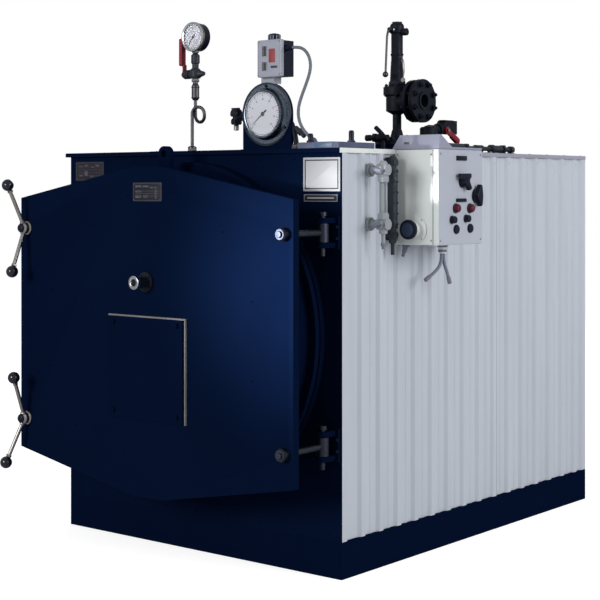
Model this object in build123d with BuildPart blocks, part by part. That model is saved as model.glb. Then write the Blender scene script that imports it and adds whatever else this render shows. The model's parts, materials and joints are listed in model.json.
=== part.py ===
from build123d import *
import math
import os

# An industrial steam boiler with a round front door behind an octagonal cover, in a ribbed sheet casing.
# The origin is on the floor, under the middle of the casing. +X is to the right, +Y to the back, +Z up.
# Sizes are in millimetres.

os.makedirs("parts", exist_ok=True)

# Pressure vessel, furnace and smoke tubes
shell_radius = 605
shell_wall = 12
plate_thickness = 18
furnace_drop = 129
furnace_radius = 290
furnace_wall = 12
furnace_length = 1250
smoke_tube_diameter = 76
smoke_tube_wall = 5
smoke_ring_radius = 405
smoke_tube_count = 16
smoke_ring_sweep = 236
smoke_box_depth = 80
shell_rear_gap = 90

# Casing round the vessel
casing_depth = 1756
side_room = 85
crown_room = 58
panel_thickness = 42
panel_sheet = 3
front_thickness = 24
rear_thickness = 24
top_thickness = 16
top_overhang = 15
hole_clearance = 1

# Ribs of the side sheets
rib_height = 10
rib_pitch = 110
rib_crest = 22
rib_flank = 12
first_rib = 126
corner_return = 28
swage_height = 3
swage_crest = 6
swage_flank = 5
front_bay = 1032
panel_seam = 1

# Steel base channels
base_height = 130
vessel_clearance = 102
channel_flange = 60
channel_web = 8
channel_thickness = 10
cross_width = 100
cross_spacing = 620
saddle_width = 760
saddle_thickness = 20

# Round flanges between shell and door
flange_lip = 15
flange_thickness = 22
flange_standoff = 5
seal_gap = 10
seal_width = 20
seal_rest = 0.4
seal_chamfer = 3

# Door
door_reach = 262
cover_depth = 30
cover_sheet = 5
cover_inset = 3
cover_corner_margin = 117
cover_half_top = 80
cover_rise = 14
drum_inset = 21
drum_wall = 6
drum_flange = 20
lining_recess = 110
lining_rim = 38
lining_slope = 30
lining_back = 4
lug_width = 57
lug_thickness = 24
lug_rise = 79
lug_hole = 26
lug_behind_face = 102

# Burner blanking plate and sight glass
burner_plate_size = 375
burner_plate_thickness = 8
burner_plate_corner = 6
sight_gap = 124.5
sight_base_radius = 36
sight_base_thickness = 8
sight_tube_radius = 19
sight_tube_length = 44
sight_ring_radius = 25
sight_ring_length = 15
sight_bore = 13
sight_recess = 6

# Hinge and clamp bolts, the same distance from the middle on both sides
bolt_edge = 39
upper_bolt_rise = 368
lower_bolt_drop = 370
bolt_diameter = 24
bolt_clearance = 1
pin_diameter = 20
pin_standoff = 55
pin_below = 80
pin_above = 72
pin_head = 14
pin_head_lip = 6
pin_play = 0.1
barrel_diameter = 46
barrel_height = 64
barrel_play = 0.3
cheek_gap = 2
cheek_thickness = 18
cheek_radius = 24
bracket_plate = 12
bracket_width = 72
bracket_margin = 6
nut_diameter = 46
nut_length = 26
nut_chamfer = 5

# Keepers and clamp handles
keeper_half_width = 42
keeper_cheek = 12
keeper_height = 112
keeper_plate = 12
keeper_depth = 55
slot_clearance = 5
head_length = 70
head_thickness = 20
head_width = 24
handle_gap = 0.4
hub_diameter = 44
hub_length = 32
hub_collar = 52
hub_collar_length = 6
hub_taper = 4
hub_chamfer = 6
arm_diameter = 15
arm_rise = 166.5
arm_reach = 73
arm_root = 16
arm_in_ball = 4
ball_diameter = 46
handle_turns = (-4.4, 7.8)

# Flue spigot
flue_rise = 173
flue_radius = 125
flue_wall = 4
flue_step = 0.6
flue_step_gap = 4
flue_reach = 90
flue_plate = 8

# Control cabinet on the right side
cabinet_front = -560
cabinet_length = 282
cabinet_height = 344
cabinet_top_gap = 1
cabinet_reach = 170
cabinet_edge = 6
lid_thickness = 23
lid_margin = 4
lid_corner = 8
lid_edge = 3


def face_plane(y):
    """A plane seen from the front: local x is X, local y is Z, and its normal points forward."""
    return Plane(origin=(0, y, 0), x_dir=(1, 0, 0), z_dir=(0, -1, 0))


def flank_plane(x):
    """A plane seen from the right: local x is Y, local y is Z, and its normal points right."""
    return Plane(origin=(x, 0, 0), x_dir=(0, 1, 0), z_dir=(1, 0, 0))


def axis_at(x, y, z, toward):
    """A plane at a point whose normal is the axis of a turned piece."""
    return Plane(origin=(x, y, z), z_dir=toward)


def turned(points, place):
    """A solid of revolution from points of radius and height, stood on a plane."""
    with BuildPart() as body:
        with BuildSketch(Plane.XZ):
            with BuildLine():
                Polyline(*points, close=True)
            make_face()
        revolve(axis=Axis.Z)
    return place.location * body.part


def stepped(steps, place):
    """A turned bar from its sections: each has a length and a radius, or one at each end."""
    points = [(0, 0)]
    reach = 0
    for length, start, *rest in steps:
        if points[-1] != (start, reach):
            points.append((start, reach))
        reach += length
        points.append((rest[0] if rest else start, reach))
    points.append((0, reach))
    return turned(points, place)


def length_of(steps):
    """The whole length of a stepped bar."""
    return sum(step[0] for step in steps)


def piped(points, radius, diameter):
    """A round bar along straight runs joined by arcs."""
    with BuildPart() as body:
        with BuildLine() as route:
            FilletPolyline(*points, radius=radius)
        with BuildSketch(route.line ^ 0):
            Circle(diameter / 2)
        sweep(path=route.line)
    return body.part


def block(low, high):
    """A box between two corners."""
    middle = tuple((a + b) / 2 for a, b in zip(low, high))
    with BuildPart() as body:
        with Locations(middle):
            Box(high[0] - low[0], high[1] - low[1], high[2] - low[2])
    return body.part


def last_run(points):
    """The direction in which a route ends."""
    return (Vector(*points[-1]) - Vector(*points[-2])).normalized()


def save(piece, name):
    """Label a finished piece and write its file."""
    piece.part.label = name
    export_step(piece.part, f"parts/{name}.step")


def save_cord(points, diameter, name, share=0.45):
    """A cord along a route, where each bend is the largest that its shorter run leaves room for."""
    radii = []
    for before, here, after in zip(points, points[1:], points[2:]):
        first = Vector(*here) - Vector(*before)
        second = Vector(*after) - Vector(*here)
        half_turn = math.radians(first.get_angle(second)) / 2
        radii.append(share * min(first.length, second.length) / math.tan(half_turn))
    with BuildPart() as cord:
        with BuildLine() as route:
            FilletPolyline(*points, radius=radii)
        with BuildSketch(route.line ^ 0):
            Circle(diameter / 2)
        sweep(path=route.line)
    section = math.pi * diameter ** 2 / 4
    length = sum(edge.length for edge in route.line.edges())
    print(name, "bend radii", [round(radius, 1) for radius in radii], "length", round(length, 1),
          "volume over section and length", round(cord.part.volume / section / length, 4))
    save(cord, name)


vessel_height = base_height + vessel_clearance + shell_radius
casing_height = vessel_height + shell_radius + crown_room
half_width = shell_radius + side_room
casing_width = 2 * half_width
front_y = -casing_depth / 2
rear_y = casing_depth / 2
casing_top = casing_height - top_thickness
door_face = front_y - door_reach
cover_back = door_face + cover_depth
flange_radius = shell_radius + flange_lip
drum_radius = shell_radius - drum_inset
furnace_height = vessel_height - furnace_drop
bolt_heights = (vessel_height + upper_bolt_rise, vessel_height - lower_bolt_drop)
bolt_offset = half_width - cover_inset - bolt_edge

# Base rails: channels along both sides with their webs outward, then end rails and cross members between
with BuildPart() as base_side_rails:
    for side in (-1, 1):
        with BuildSketch(face_plane(front_y)):
            with BuildLine():
                Polyline(
                    (side * half_width, 0),
                    (side * (half_width - channel_flange), 0),
                    (side * (half_width - channel_flange), channel_thickness),
                    (side * (half_width - channel_web), channel_thickness),
                    (side * (half_width - channel_web), base_height - channel_thickness),
                    (side * (half_width - channel_flange), base_height - channel_thickness),
                    (side * (half_width - channel_flange), base_height),
                    (side * half_width, base_height),
                    close=True,
                )
            make_face()
        extrude(amount=-casing_depth)
save(base_side_rails, "base_side_rails")

web_half = half_width - channel_web
flange_half = half_width - channel_flange
with BuildPart() as base_cross_rails:
    for side in (-1, 1):
        outer = side * rear_y
        inner_web = outer - side * channel_web
        inner_flange = outer - side * channel_flange
        add(block((-web_half, min(outer, inner_web), channel_thickness),
                  (web_half, max(outer, inner_web), base_height - channel_thickness)))
        for low in (0, base_height - channel_thickness):
            add(block((-flange_half, min(outer, inner_flange), low),
                      (flange_half, max(outer, inner_flange), low + channel_thickness)))
    with BuildSketch(flank_plane(-flange_half)):
        with GridLocations(cross_spacing, 1, 3, 1):
            with Locations((0, channel_thickness / 2), (0, base_height - channel_thickness / 2)):
                Rectangle(cross_width, channel_thickness)
            with Locations((0, base_height / 2)):
                Rectangle(channel_web, base_height)
    extrude(amount=2 * flange_half)
save(base_cross_rails, "base_cross_rails")

# Saddles carry the shell on the outer cross members
saddle_height = (vessel_height - base_height) / 2
with BuildPart() as saddles:
    for y in (-cross_spacing, cross_spacing):
        with BuildSketch(face_plane(y - saddle_thickness / 2)):
            with Locations((0, base_height + saddle_height / 2)):
                Rectangle(saddle_width, saddle_height)
            with Locations((0, vessel_height)):
                Circle(shell_radius, mode=Mode.SUBTRACT)
        extrude(amount=-saddle_thickness)
save(saddles, "saddles")

# Side panels: insulated sheets with upright ribs and a small swage between ribs, in two bays a side
valley = half_width - rib_height
panel_inner = valley - panel_thickness


def rib_outline(start, stop, return_at_start, return_at_stop):
    """A panel between two places along the side, as distances outward and back, with its corner return."""
    points = [(panel_inner, start)]
    if return_at_start:
        points += [(half_width, start), (half_width, start + corner_return)]
        points += [(valley, start + corner_return + rib_flank)]
    else:
        points += [(valley, start)]
    crest = front_y + first_rib
    while crest < stop - rib_crest:
        low = crest - rib_crest / 2 - rib_flank
        high = crest + rib_crest / 2 + rib_flank
        if low > start + 1 and high < stop - 1:
            points += [(valley, low), (half_width, low + rib_flank)]
            points += [(half_width, high - rib_flank), (valley, high)]
        middle = crest + rib_pitch / 2
        swage_half = swage_crest / 2 + swage_flank
        if middle - swage_half > start + 1 and middle + swage_half < stop - corner_return - rib_flank:
            points += [(valley, middle - swage_half), (valley + swage_height, middle - swage_crest / 2)]
            points += [(valley + swage_height, middle + swage_crest / 2), (valley, middle + swage_half)]
        crest += rib_pitch
    if return_at_stop:
        points += [(valley, stop - corner_return - rib_flank), (half_width, stop - corner_return)]
        points += [(half_width, stop)]
    else:
        points += [(valley, stop)]
    points += [(panel_inner, stop)]
    return points


seam_y = front_y + front_bay
bays = ((front_y + panel_sheet, seam_y - panel_seam / 2, True, False),
        (seam_y + panel_seam / 2, rear_y - panel_sheet, False, True))
for side, hand in ((-1, "left"), (1, "right")):
    with BuildPart() as side_panels:
        for start, stop, return_at_start, return_at_stop in bays:
            outline = rib_outline(start, stop, return_at_start, return_at_stop)
            with BuildSketch(Plane.XY.offset(base_height)):
                with BuildLine():
                    Polyline(*[(side * x, y) for x, y in outline], close=True)
                make_face()
            extrude(amount=casing_top - base_height)
    save(side_panels, f"side_panels_{hand}")

# Front and rear panels: a sheet over the full width, with insulation behind it between the side panels
panel_middle = (base_height + casing_top) / 2
panel_height = casing_top - base_height
front_hole = shell_radius + hole_clearance
with BuildPart() as front_panel:
    with BuildSketch(face_plane(front_y + panel_sheet)):
        with Locations((0, panel_middle)):
            Rectangle(casing_width, panel_height)
        with Locations((0, vessel_height)):
            Circle(front_hole, mode=Mode.SUBTRACT)
    extrude(amount=panel_sheet)
    with BuildSketch(face_plane(front_y + front_thickness)):
        with Locations((0, panel_middle)):
            Rectangle(2 * panel_inner, panel_height)
        with Locations((0, vessel_height)):
            Circle(front_hole, mode=Mode.SUBTRACT)
    extrude(amount=front_thickness - panel_sheet)
save(front_panel, "front_panel")

flue_height = vessel_height + flue_rise
with BuildPart() as rear_panel:
    with BuildSketch(face_plane(rear_y)):
        with Locations((0, panel_middle)):
            Rectangle(casing_width, panel_height)
        with Locations((0, flue_height)):
            Circle(flue_radius + hole_clearance, mode=Mode.SUBTRACT)
    extrude(amount=panel_sheet)
    with BuildSketch(face_plane(rear_y - panel_sheet)):
        with Locations((0, panel_middle)):
            Rectangle(2 * panel_inner, panel_height)
        with Locations((0, flue_height)):
            Circle(flue_radius + hole_clearance, mode=Mode.SUBTRACT)
    extrude(amount=rear_thickness - panel_sheet)
save(rear_panel, "rear_panel")

with BuildPart() as top_panel:
    add(block((-half_width - top_overhang, front_y - top_overhang, casing_top),
              (half_width, rear_y, casing_height)))
save(top_panel, "top_panel")

# Boiler shell, with its flange in front of the casing
shell_rear = rear_y - shell_rear_gap
shell_front = front_y - flange_standoff - flange_thickness
with BuildPart() as boiler_shell:
    with BuildSketch(face_plane(shell_rear)):
        with Locations((0, vessel_height)):
            Circle(shell_radius)
            Circle(shell_radius - shell_wall, mode=Mode.SUBTRACT)
    extrude(amount=shell_rear - shell_front)
    with BuildSketch(face_plane(shell_front + flange_thickness)):
        with Locations((0, vessel_height)):
            Circle(flange_radius)
            Circle(shell_radius - shell_wall, mode=Mode.SUBTRACT)
    extrude(amount=flange_thickness)
save(boiler_shell, "boiler_shell")

# Tube plates with the furnace mouth and the ring of smoke tubes over it
tube_plate_rear = shell_rear - smoke_box_depth
smoke_step = smoke_ring_sweep / (smoke_tube_count - 1)
smoke_angles = [90 - smoke_ring_sweep / 2 + smoke_step * number for number in range(smoke_tube_count)]
smoke_places = [
    (smoke_ring_radius * math.cos(math.radians(angle)),
     furnace_height + smoke_ring_radius * math.sin(math.radians(angle)))
    for angle in smoke_angles
]
with BuildPart() as front_tube_plate:
    with BuildSketch(face_plane(shell_front + plate_thickness)):
        with Locations((0, vessel_height)):
            Circle(shell_radius - shell_wall)
        with Locations((0, furnace_height)):
            Circle(furnace_radius, mode=Mode.SUBTRACT)
        with Locations(*smoke_places):
            Circle(smoke_tube_diameter / 2, mode=Mode.SUBTRACT)
    extrude(amount=plate_thickness)
save(front_tube_plate, "front_tube_plate")

with BuildPart() as rear_tube_plate:
    with BuildSketch(face_plane(tube_plate_rear)):
        with Locations((0, vessel_height)):
            Circle(shell_radius - shell_wall)
        with Locations(*smoke_places):
            Circle(smoke_tube_diameter / 2, mode=Mode.SUBTRACT)
    extrude(amount=plate_thickness)
save(rear_tube_plate, "rear_tube_plate")

with BuildPart() as furnace_tube:
    with BuildSketch(face_plane(shell_front + furnace_length)):
        with Locations((0, furnace_height)):
            Circle(furnace_radius)
    extrude(amount=furnace_length)
    with BuildSketch(face_plane(shell_front + furnace_length - plate_thickness)):
        with Locations((0, furnace_height)):
            Circle(furnace_radius - furnace_wall)
    extrude(amount=furnace_length - plate_thickness, mode=Mode.SUBTRACT)
save(furnace_tube, "furnace_tube")

with BuildPart() as smoke_tubes:
    with BuildSketch(face_plane(tube_plate_rear)):
        with Locations(*smoke_places):
            Circle(smoke_tube_diameter / 2)
            Circle(smoke_tube_diameter / 2 - smoke_tube_wall, mode=Mode.SUBTRACT)
    extrude(amount=tube_plate_rear - shell_front)
save(smoke_tubes, "smoke_tubes")

# Smoke box cover at the end of the shell, with the flue spigot through the rear panel
flue_length = rear_y + flue_reach - shell_rear
flue_outside = rear_y + flue_step_gap - shell_rear
with BuildPart() as flue_outlet:
    with BuildSketch(face_plane(shell_rear + flue_plate)):
        with Locations((0, vessel_height)):
            Circle(shell_radius)
        with Locations((0, flue_height)):
            Circle(flue_radius - flue_wall, mode=Mode.SUBTRACT)
    extrude(amount=flue_plate)
    add(turned([(flue_radius - flue_wall, flue_plate / 2), (flue_radius - flue_step, flue_plate / 2),
                (flue_radius - flue_step, flue_outside), (flue_radius, flue_outside),
                (flue_radius, flue_length), (flue_radius - flue_wall, flue_length)],
               axis_at(0, shell_rear, flue_height, (0, 1, 0))))
save(flue_outlet, "flue_outlet")

# Door cover: an octagonal sheet tray over the round door
cover_half_width = half_width - cover_inset
cover_half_side = upper_bolt_rise + cover_corner_margin
cover_half_height = drum_radius + cover_rise
cover_points = [
    (cover_half_width, vessel_height - cover_half_side),
    (cover_half_width, vessel_height + cover_half_side),
    (cover_half_top, vessel_height + cover_half_height),
    (-cover_half_top, vessel_height + cover_half_height),
    (-cover_half_width, vessel_height + cover_half_side),
    (-cover_half_width, vessel_height - cover_half_side),
    (-cover_half_top, vessel_height - cover_half_height),
    (cover_half_top, vessel_height - cover_half_height),
]
bolt_places = [(side * bolt_offset, height) for side in (-1, 1) for height in bolt_heights]
with BuildPart() as door_cover:
    with BuildSketch(face_plane(cover_back)):
        with BuildLine():
            Polyline(*cover_points, close=True)
        make_face()
    extrude(amount=cover_depth)
    offset(amount=-cover_sheet, openings=door_cover.faces().sort_by(Axis.Y)[-1])
    with BuildSketch(face_plane(cover_back)):
        with Locations(*bolt_places):
            Circle(bolt_diameter / 2 + bolt_clearance)
    extrude(amount=cover_depth, mode=Mode.SUBTRACT)
save(door_cover, "door_cover")

# Door drum: the round steel pan behind the cover, with its flange and lifting lug
drum_front = door_face + cover_sheet
drum_back = shell_front - seal_gap
drum_bore = drum_radius - drum_wall
lug_centre = vessel_height + cover_half_height + lug_rise - lug_width / 2
lug_foot = vessel_height + drum_radius - drum_wall / 2
with BuildPart() as door_drum:
    with BuildSketch(face_plane(drum_back)):
        with Locations((0, vessel_height)):
            Circle(drum_radius)
            Circle(drum_bore, mode=Mode.SUBTRACT)
    extrude(amount=drum_back - drum_front)
    with BuildSketch(face_plane(drum_back)):
        with Locations((0, vessel_height)):
            Circle(flange_radius)
            Circle(drum_bore, mode=Mode.SUBTRACT)
    extrude(amount=drum_flange)
    with BuildSketch(face_plane(door_face + lug_behind_face + lug_thickness / 2)):
        with Locations((0, lug_centre)):
            Circle(lug_width / 2)
        with Locations((0, (lug_centre + lug_foot) / 2)):
            Rectangle(lug_width, lug_centre - lug_foot)
        with Locations((0, lug_centre)):
            Circle(lug_hole / 2, mode=Mode.SUBTRACT)
    extrude(amount=lug_thickness)
save(door_drum, "door_drum")

# Refractory lining, with the hollow where the gases turn into the smoke tubes
lining_end = drum_back - lining_back - drum_front
recess_radius = drum_bore - lining_rim
with BuildPart() as door_lining:
    add(turned([(0, 0), (drum_bore, 0), (drum_bore, lining_end), (recess_radius, lining_end),
                (recess_radius - lining_slope, lining_end - lining_recess),
                (0, lining_end - lining_recess)],
               axis_at(0, drum_front, vessel_height, (0, 1, 0))))
save(door_lining, "door_lining")

seal_inner = (flange_radius + drum_bore - seal_width) / 2
seal_outer = seal_inner + seal_width
seal_depth = seal_gap - seal_rest
with BuildPart() as door_seal:
    add(turned([(seal_inner, 0), (seal_outer, 0), (seal_outer, seal_depth - seal_chamfer),
                (seal_outer - seal_chamfer, seal_depth), (seal_inner + seal_chamfer, seal_depth),
                (seal_inner, seal_depth - seal_chamfer)],
               axis_at(0, drum_back, vessel_height, (0, 1, 0))))
save(door_seal, "door_seal")

# Burner blanking plate, and over it a sight glass on a tube
with BuildPart() as burner_plate:
    with BuildSketch(face_plane(door_face)):
        with Locations((0, furnace_height)):
            RectangleRounded(burner_plate_size, burner_plate_size, burner_plate_corner)
    extrude(amount=burner_plate_thickness)
save(burner_plate, "burner_plate")

sight_height = furnace_height + burner_plate_size / 2 + sight_gap
sight_steps = ((sight_base_thickness, sight_base_radius), (sight_tube_length, sight_tube_radius))
with BuildPart() as sight_tube:
    add(stepped(sight_steps, axis_at(0, door_face, sight_height, (0, -1, 0))))
save(sight_tube, "sight_tube")

with BuildPart() as sight_glass:
    add(turned([(0, 0), (sight_ring_radius, 0), (sight_ring_radius, sight_ring_length),
                (sight_bore, sight_ring_length), (sight_bore, sight_ring_length - sight_recess),
                (0, sight_ring_length - sight_recess)],
               axis_at(0, door_face - length_of(sight_steps), sight_height, (0, -1, 0))))
    fillet(sight_glass.faces().sort_by(Axis.Y)[0].edges(), sight_recess / 2)
save(sight_glass, "sight_glass")

# Hinge brackets on the right of the front panel: two cheeks on a plate, with an upright pin
pin_y = front_y - pin_standoff
plate_y = front_y - bracket_plate
cheek_inner = barrel_height / 2 + cheek_gap
bracket_half_height = cheek_inner + cheek_thickness + bracket_margin
with BuildPart() as hinge_brackets:
    for height in bolt_heights:
        add(block((bolt_offset - bracket_width / 2, plate_y, height - bracket_half_height),
                  (bolt_offset + bracket_width / 2, front_y, height + bracket_half_height)))
        for low in (height - cheek_inner - cheek_thickness, height + cheek_inner):
            with BuildSketch(Plane.XY.offset(low)):
                with Locations((bolt_offset, pin_y)):
                    Circle(cheek_radius)
                with Locations((bolt_offset, (pin_y + plate_y) / 2)):
                    Rectangle(2 * cheek_radius, plate_y - pin_y)
            extrude(amount=cheek_thickness)
        with BuildSketch(Plane.XY.offset(height - cheek_inner - cheek_thickness)):
            with Locations((bolt_offset, pin_y)):
                Circle(pin_diameter / 2 + pin_play)
        extrude(amount=2 * (cheek_inner + cheek_thickness), mode=Mode.SUBTRACT)
save(hinge_brackets, "hinge_brackets")

pin_steps = ((pin_below + pin_above - pin_head, pin_diameter / 2), (pin_head, pin_diameter / 2 + pin_head_lip))
with BuildPart() as hinge_pins:
    for height in bolt_heights:
        add(stepped(pin_steps, Plane(origin=(bolt_offset, pin_y, height - pin_below))))
save(hinge_pins, "hinge_pins")

# Hinge bolts: an eye on the pin, a rod through the cover and a round nut on the door's face
hinge_bolt_steps = ((pin_y - door_face, bolt_diameter / 2), (nut_length - nut_chamfer, nut_diameter / 2),
                    (nut_chamfer, nut_diameter / 2, nut_diameter / 2 - nut_chamfer))
with BuildPart() as hinge_bolts:
    for height in bolt_heights:
        with BuildSketch(Plane.XY.offset(height - barrel_height / 2)):
            with Locations((bolt_offset, pin_y)):
                Circle(barrel_diameter / 2)
        extrude(amount=barrel_height)
        add(stepped(hinge_bolt_steps, axis_at(bolt_offset, pin_y, height, (0, -1, 0))))
        with BuildSketch(Plane.XY.offset(height - barrel_height / 2)):
            with Locations((bolt_offset, pin_y)):
                Circle(pin_diameter / 2 + barrel_play)
        extrude(amount=barrel_height, mode=Mode.SUBTRACT)
save(hinge_bolts, "hinge_bolts")

# Keepers on the left of the front panel: a slotted plate on an upper and a lower cheek
keeper_front = front_y - keeper_depth
with BuildPart() as keeper_brackets:
    for height in bolt_heights:
        low_x = -bolt_offset - keeper_half_width
        high_x = -bolt_offset + keeper_half_width
        for low in (height - keeper_height / 2, height + keeper_height / 2 - keeper_cheek):
            add(block((low_x, keeper_front, low), (high_x, front_y, low + keeper_cheek)))
        add(block((low_x, keeper_front, height - keeper_height / 2),
                  (high_x, keeper_front + keeper_plate, height + keeper_height / 2)))
        with BuildSketch(face_plane(keeper_front + keeper_plate)):
            with Locations((-bolt_offset, height)):
                Rectangle(head_width + 2 * slot_clearance, head_length + 2 * slot_clearance)
        extrude(amount=keeper_plate, mode=Mode.SUBTRACT)
save(keeper_brackets, "keeper_brackets")

# Clamp handles: a rod with a cross head behind the keeper's slot, a hub and two arms with balls
rod_back = keeper_front + keeper_plate + slot_clearance + head_thickness
hub_back = door_face - handle_gap
arm_y = hub_back - arm_root
handle_steps = (
    (rod_back - hub_back, bolt_diameter / 2),
    (hub_collar_length, hub_collar / 2),
    (hub_taper, hub_collar / 2, hub_diameter / 2),
    (hub_length - hub_collar_length - hub_taper - hub_chamfer, hub_diameter / 2),
    (hub_chamfer, hub_diameter / 2, hub_diameter / 2 - hub_chamfer),
)
for height, turn, name in zip(bolt_heights, handle_turns, ("upper", "lower")):
    tilt = math.radians(turn)
    root = Vector(-bolt_offset, arm_y, height)
    ball_places = [
        (-bolt_offset + sign * arm_rise * math.sin(tilt), arm_y - arm_reach,
         height + sign * arm_rise * math.cos(tilt))
        for sign in (-1, 1)
    ]
    with BuildPart() as clamp_handle:
        add(stepped(handle_steps, axis_at(-bolt_offset, rod_back, height, (0, -1, 0))))
        add(block((-bolt_offset - head_width / 2, rod_back - head_thickness, height - head_length / 2),
                  (-bolt_offset + head_width / 2, rod_back, height + head_length / 2)))
        for place in ball_places:
            along = Vector(*place) - root
            with BuildSketch(Plane(origin=root, z_dir=along)):
                Circle(arm_diameter / 2)
            extrude(amount=along.length - ball_diameter / 2 + arm_in_ball)
    save(clamp_handle, f"clamp_handle_{name}")
    with BuildPart() as clamp_balls:
        with Locations(*ball_places):
            Sphere(ball_diameter / 2)
        add(clamp_handle.part, mode=Mode.SUBTRACT)
    save(clamp_balls, f"clamp_balls_{name}")

# Control cabinet, with a white ring on its front for the round switch and a gland below
cabinet_top = casing_height - cabinet_top_gap
cabinet_bottom = cabinet_top - cabinet_height
cabinet_face = half_width + cabinet_reach
cabinet_rear = cabinet_front + cabinet_length
switch_inset = 82
switch_rise = 56
switch_radius = 42
switch_ring = 10
switch_ring_depth = 6
switch_x = cabinet_face - switch_inset
switch_height = cabinet_bottom + switch_rise
gland_x = half_width + cabinet_reach / 2
gland_y = cabinet_front + 183
gland_steps = ((14, 17), (22, 14))
with BuildPart() as control_cabinet:
    add(block((half_width, cabinet_front, cabinet_bottom), (cabinet_face, cabinet_rear, cabinet_top)))
    fillet(control_cabinet.edges().filter_by(Axis.X), cabinet_edge)
    add(stepped(((switch_ring_depth, switch_radius + switch_ring),),
                axis_at(switch_x, cabinet_front, switch_height, (0, -1, 0))))
    add(stepped(gland_steps, axis_at(gland_x, gland_y, cabinet_bottom, (0, 0, -1))))
save(control_cabinet, "control_cabinet")

with BuildPart() as cabinet_lid:
    with BuildSketch(flank_plane(cabinet_face)):
        with Locations(((cabinet_front + cabinet_rear) / 2, (cabinet_bottom + cabinet_top) / 2)):
            RectangleRounded(cabinet_length + 2 * lid_margin, cabinet_height, lid_corner)
    extrude(amount=lid_thickness)
    fillet(cabinet_lid.faces().sort_by(Axis.X)[-1].edges(), lid_edge)
save(cabinet_lid, "cabinet_lid")

# Switches and lamps on the lid, placed back from its front edge and down from its top
lid_face = cabinet_face + lid_thickness
button_steps = ((10, 13), (4, 13, 9), (8, 9))
lever_switch_steps = ((6, 20), (4, 20, 13), (16, 13))
rotary_steps = ((8, 26), (4, 26, 16), (22, 16))
lamp_steps = ((6, 13), (8, 10), (4, 10, 6), (1, 6, 3))
button_places = ((92, 253), (185, 250), (111, 285), (203, 284))
lever_switch_place = (147, 117)
rotary_place = (247, 167)
lamp_places = ((104, 212), (198, 213))
plate_places = ((141, 31, 62, 16), (139, 183, 60, 12))
plate_rise = 5


def lid_axis(back, down):
    """The place of a fitting on the lid's face, pointing right."""
    return axis_at(lid_face, cabinet_front + back, cabinet_top - down, (1, 0, 0))


with BuildPart() as cabinet_knobs:
    for place in button_places:
        add(stepped(button_steps, lid_axis(*place)))
    add(stepped(lever_switch_steps, lid_axis(*lever_switch_place)))
    add(stepped(rotary_steps, lid_axis(*rotary_place)))
    for back, down, width, height in plate_places:
        y = cabinet_front + back
        z = cabinet_top - down
        add(block((lid_face, y - width / 2, z - height / 2),
                  (lid_face + plate_rise, y + width / 2, z + height / 2)))
save(cabinet_knobs, "cabinet_knobs")

with BuildPart() as cabinet_lamps:
    for place in lamp_places:
        add(stepped(lamp_steps, lid_axis(*place)))
save(cabinet_lamps, "cabinet_lamps")

switch_steps = ((6, switch_radius), (8, switch_radius, 34), (5, 30), (20, 30, 28), (4, 28, 12))
with BuildPart() as isolator_switch:
    add(stepped(switch_steps, axis_at(switch_x, cabinet_front - switch_ring_depth, switch_height, (0, -1, 0))))
save(isolator_switch, "isolator_switch")

# Sloping cable hood over the cabinet
hood_height = 52
hood_crest = 12
hood_slope = 84
hood_tail = 7
hood_overhang = 13
hood_slant = 36
hood_high = cabinet_top + hood_height
with BuildPart() as cable_hood:
    with BuildSketch(flank_plane(half_width - hood_overhang)):
        with BuildLine():
            Polyline((cabinet_front, casing_height), (cabinet_front, hood_high),
                     (cabinet_front + hood_crest, hood_high),
                     (cabinet_front + hood_slope, casing_height + hood_tail),
                     (cabinet_rear, casing_height + hood_tail), (cabinet_rear, casing_height), close=True)
        make_face()
    extrude(amount=hood_overhang + cabinet_reach + lid_thickness)
    with BuildSketch(face_plane(cabinet_front)):
        with BuildLine():
            Polyline((half_width - hood_overhang, casing_height),
                     (half_width - hood_overhang + hood_slant, hood_high),
                     (half_width - hood_overhang, hood_high), close=True)
        make_face()
    extrude(amount=-cabinet_length, mode=Mode.SUBTRACT)
save(cable_hood, "cable_hood")

# Two short leads that hang from the gland under the cabinet, each with its plug, as points along their routes
lead_diameter = 10
lead_top = cabinet_bottom - length_of(gland_steps)
lead_spread = 6.5
lead_routes = {
    "left": [(gland_x, gland_y - lead_spread, lead_top), (775, -383.5, 1096), (772, -391, 1073),
             (764, -408, 1052), (755, -427, 1037)],
    "right": [(gland_x, gland_y + lead_spread, lead_top), (775, -370.5, 1096), (776.5, -364, 1072),
              (779, -353, 1050), (780, -347, 1033)],
}
lead_plug_steps = ((4, 5.5, 8), (22, 8), (3, 8, 6))
for hand, route in lead_routes.items():
    save_cord(route, lead_diameter, f"burner_lead_{hand}")
with BuildPart() as lead_plugs:
    for route in lead_routes.values():
        add(stepped(lead_plug_steps, Plane(origin=route[-1], z_dir=last_run(route))))
save(lead_plugs, "lead_plugs")

# Level gauges on the right side: a glass between two cocks in front, a reflex gauge behind it
neck_reach = rib_height + 1
glass_standoff = 72
glass_y = -718
glass_x = valley + glass_standoff
glass_top = casing_height - 76
glass_bottom = casing_height - 268
glass_neck = 10
glass_flange_steps = ((neck_reach, glass_neck), (10, 24))
glass_cock_radius = 20
glass_cock_half = 22
glass_foot = 72
glass_head = 36
with BuildPart() as glass_level_gauge:
    for z in (glass_top, glass_bottom):
        stem = glass_standoff - glass_cock_half - length_of(glass_flange_steps)
        steps = (*glass_flange_steps, (stem, 13), (2 * glass_cock_half, glass_cock_radius))
        add(stepped(steps, axis_at(valley, glass_y, z, (1, 0, 0))))
    glass_run = glass_top - glass_bottom - 2 * (glass_cock_radius + 24)
    column = ((glass_foot - 36, 7), (4, 7, 15), (28 + glass_cock_radius, 15), (24, 17), (4, 17, 8),
              (glass_run - 4, 8), (4, 8, 17), (27, 17), (glass_cock_radius + 21, 15), (8, 15, 9))
    add(stepped(column, Plane(origin=(glass_x, glass_y, glass_bottom - glass_foot))))
save(glass_level_gauge, "glass_level_gauge")

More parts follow.
